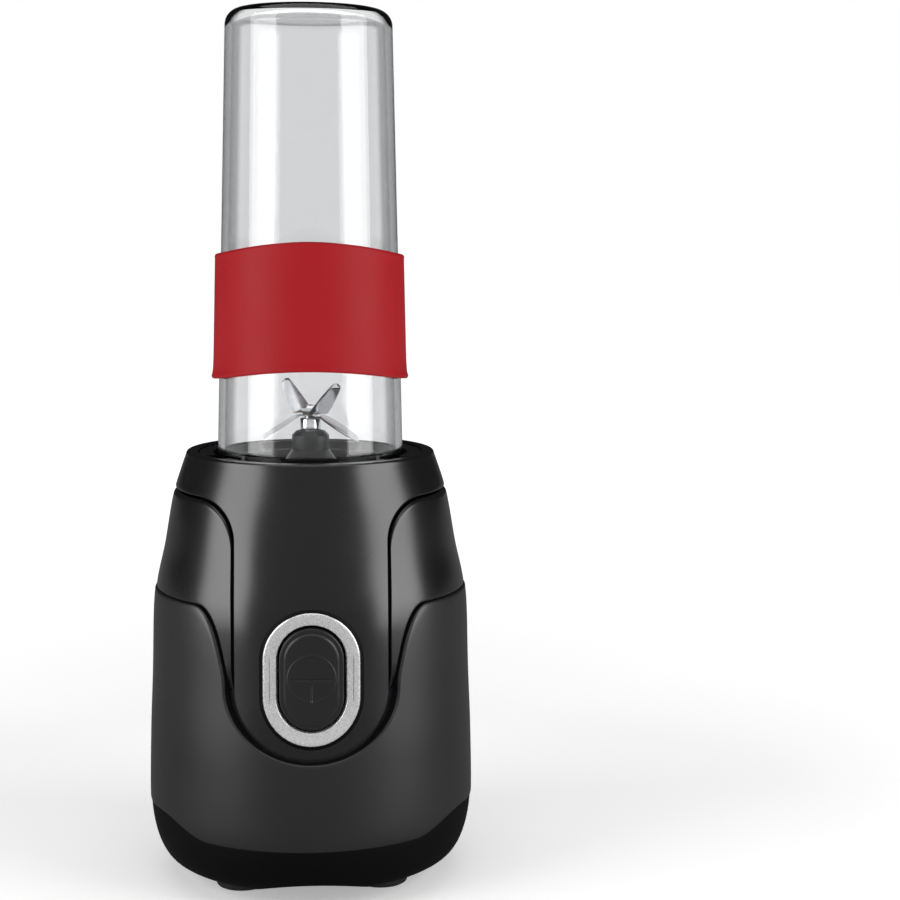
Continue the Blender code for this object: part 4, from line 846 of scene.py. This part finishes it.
def button_height(x, z, inside):
    """How far the button's face stands above its edge, with its power mark."""
    edge = np.clip(inside / BUTTON_EDGE_R, 0.0, 1.0)
    round_over = -BUTTON_EDGE_R * (1.0 - np.sqrt(1.0 - (1.0 - edge) ** 2))
    step = np.clip((inside - BUTTON_STEP_INSET) / BUTTON_STEP_WIDTH, 0.0, 1.0)
    raised = BUTTON_STEP_RISE * step * step * (3 - 2 * step)
    up = z - BUTTON_Z
    distance = np.hypot(x, up - MARK_RING_SHIFT)
    ring = np.exp(-((distance - MARK_RING_R) / MARK_RING_WIDTH) ** 2) * (up > -MARK_RING_BOTTOM)
    bar = np.exp(-(up / MARK_LINE_WIDTH) ** 2) * (np.abs(x) < MARK_BAR_HALF)
    stem = (np.exp(-(x / MARK_LINE_WIDTH) ** 2) * (up < -MARK_STEM_TOP)
            * (up > -MARK_STEM_BOTTOM))
    return (round_over + raised + MARK_RING_RISE * ring
            - MARK_LINE_DEPTH * np.maximum(bar, stem))


def make_button():
    shape = bmesh.new()
    shares = np.linspace(0.0, 1.0, 288, endpoint=False)
    edge_x, edge_z = stadium_point(shares, BUTTON_HALF_X, BUTTON_HALF_Z)
    inward = np.linspace(1.0, 0.02, 84)[:, None]
    x = edge_x * inward
    z = BUTTON_Z + (edge_z - BUTTON_Z) * inward
    inside = in_stadium(x, z, BUTTON_HALF_X, BUTTON_HALF_Z)
    face = on_skin(turn_of(x, z), z, button_height(x, z, inside) - BUTTON_SUNK)
    wall = face[0] + (0.0, BUTTON_WALL, 0.0)
    add_grid(shape, np.vstack([wall[None], face]), wrap=True)
    weld(shape)
    face_outwards(shape)
    bmesh.ops.holes_fill(shape, edges=[e for e in shape.edges if e.is_boundary], sides=0)
    settle(finish_shape(shape, "button_cap"), "button", LOOKS["button_black"],
           ["power_button"])


# ---------------------------------------------------------------- cup, bottle, sleeve

def make_seat_and_cup():
    """The carried seat and cup get wider rounded edges than the other CAD nodes."""
    for name, width in (("cup_seat", 0.0004), ("blade_cup", 0.0005)):
        soften(frame["nodes"][name], width)


def soften(node, width, segments=2):
    """Rounds a CAD node's sharp edges for the render."""
    modifier = node.modifiers.new("soft_edges", "BEVEL")
    modifier.width = width
    modifier.segments = segments
    modifier.limit_method = "ANGLE"
    modifier.angle_limit = math.radians(35.0)
    modifier.harden_normals = False


def bottle_radius(z):
    """Outside radius of the tapered bottle at a height."""
    share = (z - BOTTLE_SHOULDER_Z) / (BOTTLE_TOP_Z - BOTTLE_SHOULDER_Z)
    return BOTTLE_LOW_R + (BOTTLE_TOP_R - BOTTLE_LOW_R) * share


def make_bottle():
    """The upside-down bottle: its floor is on top, and its neck reaches into the blade cup."""
    wall, shoulder, mouth = BOTTLE_WALL, BOTTLE_SHOULDER_Z, low("bottle").z
    top, ceiling = BOTTLE_TOP_Z, BOTTLE_TOP_Z - BOTTLE_FLOOR
    top_r, low_r, neck_r = bottle_radius(top), bottle_radius(shoulder), BOTTLE_NECK_R
    points = [(0.0, top), (top_r, top), (low_r, shoulder), (neck_r, shoulder), (neck_r, mouth),
              (neck_r - wall, mouth), (neck_r - wall, shoulder),
              (low_r - wall, shoulder + BOTTLE_STEP), (top_r - wall, ceiling), (0.0, ceiling)]
    radii = [0.0, BOTTLE_TOP_CORNER, 0.0008, 0.0003, 0.0005, 0.0005, 0.0010, 0.0010,
             BOTTLE_INNER_CORNER, 0.0]
    outline = rounded(points, radii, 10, closed=False)
    settle(turned("clear_bottle", outline, 224), "bottle",
           LOOKS["clear_plastic"], ["bottle"])


def make_sleeve():
    """The silicone grip: a soft band with rims, its edges waving high at the front and back."""
    box_low, box_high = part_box("grip_sleeve")
    start, end = box_low.z + SLEEVE_WAVE, box_high.z - SLEEVE_WAVE
    shape = bmesh.new()
    turns = np.linspace(0.0, math.tau, 256, endpoint=False)
    lift = SLEEVE_WAVE * np.cos(2 * turns)
    height = end - start
    share = np.linspace(0.0, 1.0, 64)
    from_low, from_high = share * height, (1 - share) * height
    rims = (SLEEVE_LOW_RIM * np.exp(-(from_low / SLEEVE_LOW_RIM_WIDTH) ** 2)
            + SLEEVE_HIGH_RIM * np.exp(-(from_high / SLEEVE_HIGH_RIM_WIDTH) ** 2))
    flare = SLEEVE_FLARE * np.clip(1 - from_low / SLEEVE_FLARE_LENGTH, 0.0, 1.0) ** 2
    edge = np.minimum(from_low, from_high)
    over = np.clip((SLEEVE_FILLET - edge) / SLEEVE_FILLET, 0.0, 1.0)
    round_over = -SLEEVE_FILLET * (1.0 - np.sqrt(1.0 - over * over))
    rows = []
    for s, out in zip(share, SLEEVE_THICKNESS + rims + flare + round_over):
        z = start + s * height + lift
        rows.append((bottle_radius(z) + GAP + out, z))
    for s in (1.0, 0.985, 0.5, 0.015, 0.0):
        z = start + s * height + lift
        inner = GAP + (0.0005 if s in (0.0, 1.0) else 0.0)
        rows.append((bottle_radius(z) + inner, z))
    rows.append(rows[0])
    points = np.array([np.stack([r * np.sin(turns), -r * np.cos(turns), z], axis=-1)
                       for r, z in rows])
    add_grid(shape, points, wrap=True)
    weld(shape)
    settle(finish_shape(shape, "silicone_sleeve"), "bottle",
           LOOKS["red_silicone"], ["grip_sleeve"])


# ---------------------------------------------------------------- blades

# Points round a blade: across its half width, and up its thickness; the ground edge is at 1
BLADE_SECTION = ((-1.0, 0.0), (-0.93, 0.5), (0.25, 0.5), (1.0, -0.30), (1.0, -0.5), (-0.93, -0.5))


def blade_stations(reach, count=34):
    """Distances from the axis along both arms, from one tip to the other."""
    arm = np.concatenate([np.linspace(0.0, BLADE_ROOT, 6)[:-1],
                          np.linspace(BLADE_ROOT, reach, count)])
    return np.concatenate([-arm[::-1], arm[1:]])


def make_blade(name, node, hub_z, turn, rise, reach, tilt):
    """A two-armed blade: a flat hub, arms bent up or down, one ground edge on each arm."""
    shape = bmesh.new()
    rings = []
    for place in blade_stations(reach):
        along = abs(place)
        side = 1.0 if place >= 0 else -1.0
        share = max(0.0, along - BLADE_ROOT) / (reach - BLADE_ROOT)
        bend = share * share / (share + BLADE_BEND) * (1 + BLADE_BEND)
        half = BLADE_ROOT_HALF + (BLADE_TIP_HALF - BLADE_ROOT_HALF) * share ** BLADE_TAPER
        point_in = max(0.0, share - BLADE_POINT_START) / (1 - BLADE_POINT_START)
        grind = 1.0 if along > BLADE_ROOT else 0.35
        ring = []
        for across, up in BLADE_SECTION:
            level = up if across <= 0.3 else 0.5 + (up - 0.5) * grind
            shift = point_in * BLADE_POINT_BACK * (across + 1.0) * side
            y = side * across * half
            z = hub_z + rise * bend + level * BLADE_THICKNESS + tilt * share ** 0.5 * y
            ring.append(shape.verts.new((place - shift, y, z)))
        rings.append(ring)
    for first, second in zip(rings, rings[1:]):
        for k in range(len(first)):
            m = (k + 1) % len(first)
            shape.faces.new((first[k], first[m], second[m], second[k]))
    shape.faces.new(rings[0][::-1])
    shape.faces.new(rings[-1])
    bmesh.ops.recalc_face_normals(shape, faces=shape.faces)
    bmesh.ops.rotate(shape, cent=(0, 0, 0), matrix=Matrix.Rotation(turn, 3, "Z"),
                     verts=shape.verts)
    settle(finish_shape(shape, name), "blades", LOOKS["blade_steel"], [node], 25.0)


def make_blades():
    half = BLADE_THICKNESS / 2
    make_blade("low_blade", "lower_blade", high("lower_blade").z - half, **LOW_BLADE)
    make_blade("high_blade", "upper_blade", low("upper_blade").z + half, **HIGH_BLADE)
    start, end = low("blade_spacer").z, high("blade_spacer").z
    points = [(SPACER_BORE, end), (SPACER_R, end), (SPACER_R, start), (SPACER_BORE, start)]
    spacer = closed_turned("bright_spacer", points, [0.0001, 0.0005, 0.0005, 0.0001], 64)
    settle(spacer, "blades", LOOKS["blade_steel"], ["blade_spacer"], 50.0)


# ---------------------------------------------------------------- small outside parts

def make_feet():
    """Rubber feet with a raised rim round a hollow middle."""
    for place in ("front_left", "front_right", "back_left", "back_right"):
        node = "foot_" + place
        foot_low, foot_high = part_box(node)
        centre = (foot_low + foot_high) / 2
        radius = (foot_high.x - foot_low.x) / 2
        top = foot_high.z - FOOT_INSIDE
        points = [(0.0, FOOT_RIM_HEIGHT), (radius * 0.55, FOOT_RIM_HEIGHT), (radius * 0.62, 0.0),
                  (radius - 0.0004, 0.0), (radius, 0.0030), (radius, top), (0.0, top)]
        radii = [0.0, 0.0003, 0.0003, 0.0009, 0.0010, 0.0008, 0.0]
        foot = turned(node + "_pad", rounded(points, radii, 4, closed=False), 72)
        foot.location = (centre.x, centre.y, 0.0)
        settle(foot, "base", LOOKS["black_rubber"], [node], 50.0)


def make_inlet():
    """The cable grommet in the back wall: a rubber ring with rounded edges."""
    ring_low, ring_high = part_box("cable_inlet")
    centre_z = (ring_low.z + ring_high.z) / 2
    radius = (ring_high.z - ring_low.z) / 2
    depth = ring_high.y - ring_low.y
    points = [(INLET_BORE, 0.0), (radius, 0.0), (radius, -depth), (INLET_BORE, -depth)]
    ring = closed_turned("inlet_grommet", points, [0.0009, 0.0009, 0.0003, 0.0003], 72)
    ring.data.transform(Matrix.Rotation(-math.pi / 2, 4, "X"))
    ring.location = (0.0, ring_high.y, centre_z)
    settle(ring, "base", LOOKS["black_rubber"], ["cable_inlet"], 50.0)


def dress_cad_nodes():
    """Every CAD node that still shows gets its procedural finish and softened edges."""
    slots = {row["node"]: row["material_slot"] for row in frame["record"]["subparts"]}
    skipped = ("spring", "winding", "coil")
    for name, node in frame["nodes"].items():
        if node.hide_render:
            continue
        node.data.materials.clear()
        node.data.materials.append(LOOKS[slots[name]])
        if not any(word in name for word in skipped) and not node.modifiers:
            soften(node, 0.0002, 1)


# ---------------------------------------------------------------- studio

def add_area(name, location, aim, size, power):
    """A white softbox at a place, turned towards its aim."""
    light = bpy.data.lights.new(name, "AREA")
    light.shape = "RECTANGLE"
    light.size, light.size_y = size
    light.energy = power
    obj = bpy.data.objects.new(name, light)
    bpy.context.scene.collection.objects.link(obj)
    obj.location = location
    obj.rotation_euler = (Vector(aim) - Vector(location)).to_track_quat("-Z", "Y").to_euler()


def make_world():
    """A dim room that lights the object, seen as plain white directly and through the bottle."""
    world = bpy.data.worlds.new("studio")
    bpy.context.scene.world = world
    world.use_nodes = True
    tree = world.node_tree
    path = tree.nodes.new("ShaderNodeLightPath")
    seen = math_node(tree, "MAXIMUM", path.outputs["Is Camera Ray"],
                     path.outputs["Is Transmission Ray"])
    place = tree.nodes.new("ShaderNodeTexCoord")
    split = tree.nodes.new("ShaderNodeSeparateXYZ")
    tree.links.new(place.outputs["Generated"], split.inputs["Vector"])
    room = tree.nodes.new("ShaderNodeMapRange")
    room.inputs["From Min"].default_value = ROOM_FRONT_Y
    room.inputs["From Max"].default_value = ROOM_BACK_Y
    room.inputs["To Min"].default_value = ROOM_FRONT
    room.inputs["To Max"].default_value = ROOM_BACK
    tree.links.new(split.outputs["Y"], room.inputs["Value"])
    lighting = tree.nodes["Background"]
    lighting.inputs["Color"].default_value = (1.0, 1.0, 1.0, 1.0)
    tree.links.new(room.outputs["Result"], lighting.inputs["Strength"])
    backdrop = tree.nodes.new("ShaderNodeBackground")
    backdrop.inputs["Color"].default_value = (1.0, 1.0, 1.0, 1.0)
    mix = tree.nodes.new("ShaderNodeMixShader")
    tree.links.new(seen, mix.inputs[0])
    tree.links.new(lighting.outputs[0], mix.inputs[1])
    tree.links.new(backdrop.outputs[0], mix.inputs[2])
    tree.links.new(mix.outputs[0], tree.nodes["World Output"].inputs["Surface"])


def math_node(tree, operation, first, second):
    node = tree.nodes.new("ShaderNodeMath")
    node.operation = operation
    node.use_clamp = True
    tree.links.new(first, node.inputs[0])
    tree.links.new(second, node.inputs[1])
    return node.outputs["Value"]


def make_floor():
    """A pale floor that glows to white with distance, and looks dull in glossy reflections."""
    shape = bmesh.new()
    bmesh.ops.create_grid(shape, x_segments=2, y_segments=2, size=6.0)
    floor = finish_shape(shape, "floor")
    material, tree, shader = shader_of("pale_floor")
    soft = noise(tree, 2.0, 2.0)
    colour_between(tree, soft, shader, (0.90, 0.90, 0.90), (0.92, 0.92, 0.92))
    shader.inputs["Roughness"].default_value = 0.9
    shader.inputs["Specular IOR Level"].default_value = 0.1
    shader.inputs["Emission Color"].default_value = (1.0, 1.0, 1.0, 1.0)
    place = tree.nodes.new("ShaderNodeTexCoord")
    away = tree.nodes.new("ShaderNodeVectorMath")
    away.operation = "LENGTH"
    tree.links.new(place.outputs["Object"], away.inputs[0])
    ramp_between(tree, away.outputs["Value"], shader.inputs["Emission Strength"],
                 FLOOR_GLOW_NEAR, FLOOR_GLOW_FAR, FLOOR_GLOW_START, FLOOR_GLOW_END)
    dull = tree.nodes.new("ShaderNodeEmission")
    dull.inputs["Strength"].default_value = MIRRORED_FLOOR
    path = tree.nodes.new("ShaderNodeLightPath")
    mirrored = math_node(tree, "SUBTRACT", path.outputs["Is Glossy Ray"],
                         path.outputs["Is Transmission Ray"])
    share = tree.nodes.new("ShaderNodeMath")
    share.operation = "MULTIPLY"
    share.inputs[1].default_value = MIRROR_DULLING
    tree.links.new(mirrored, share.inputs[0])
    mix = tree.nodes.new("ShaderNodeMixShader")
    tree.links.new(share.outputs["Value"], mix.inputs[0])
    tree.links.new(shader.outputs[0], mix.inputs[1])
    tree.links.new(dull.outputs[0], mix.inputs[2])
    tree.links.new(mix.outputs[0], tree.nodes["Material Output"].inputs["Surface"])
    floor.data.materials.append(material)
    floor.location.z = CAD_BOX[0][2] - FLOOR_DROP


def make_camera():
    data = bpy.data.cameras.new("camera")
    data.lens = CAMERA_LENS
    data.sensor_width = 36.0
    camera = bpy.data.objects.new("camera", data)
    bpy.context.scene.collection.objects.link(camera)
    camera.location = CAMERA_PLACE
    pan = Matrix.Rotation(math.radians(CAMERA_PAN), 4, "Z")
    tilt = Matrix.Rotation(math.radians(90 - CAMERA_TILT), 4, "X")
    roll = Matrix.Rotation(math.radians(CAMERA_ROLL), 4, "Z")
    camera.rotation_euler = (pan @ tilt @ roll).to_euler()
    bpy.context.scene.camera = camera


def make_studio():
    make_world()
    make_floor()
    for name, side in (("left_box", -1), ("right_box", 1)):
        place = (side * math.sin(BOX_TURN), -math.cos(BOX_TURN), BOX_HEIGHT)
        add_area(name, place, (0.0, 0.0, 0.18), BOX_SIZE, BOX_POWER)
    add_area("top_box", (0.0, -0.1, 1.3), (0.0, 0.0, 0.1), TOP_BOX_SIZE, TOP_BOX_POWER)
    make_camera()
    settings = bpy.context.scene.view_settings
    settings.view_transform = "Standard"
    settings.look = "None"


def main():
    make_upper_housing()
    make_lower_shell()
    make_flank("flank_left_panel", -1)
    make_flank("flank_right_panel", 1)
    make_skirt()
    make_bezel()
    make_button()
    make_seat_and_cup()
    make_bottle()
    make_sleeve()
    make_blades()
    make_feet()
    make_inlet()
    dress_cad_nodes()
    make_studio()


main()
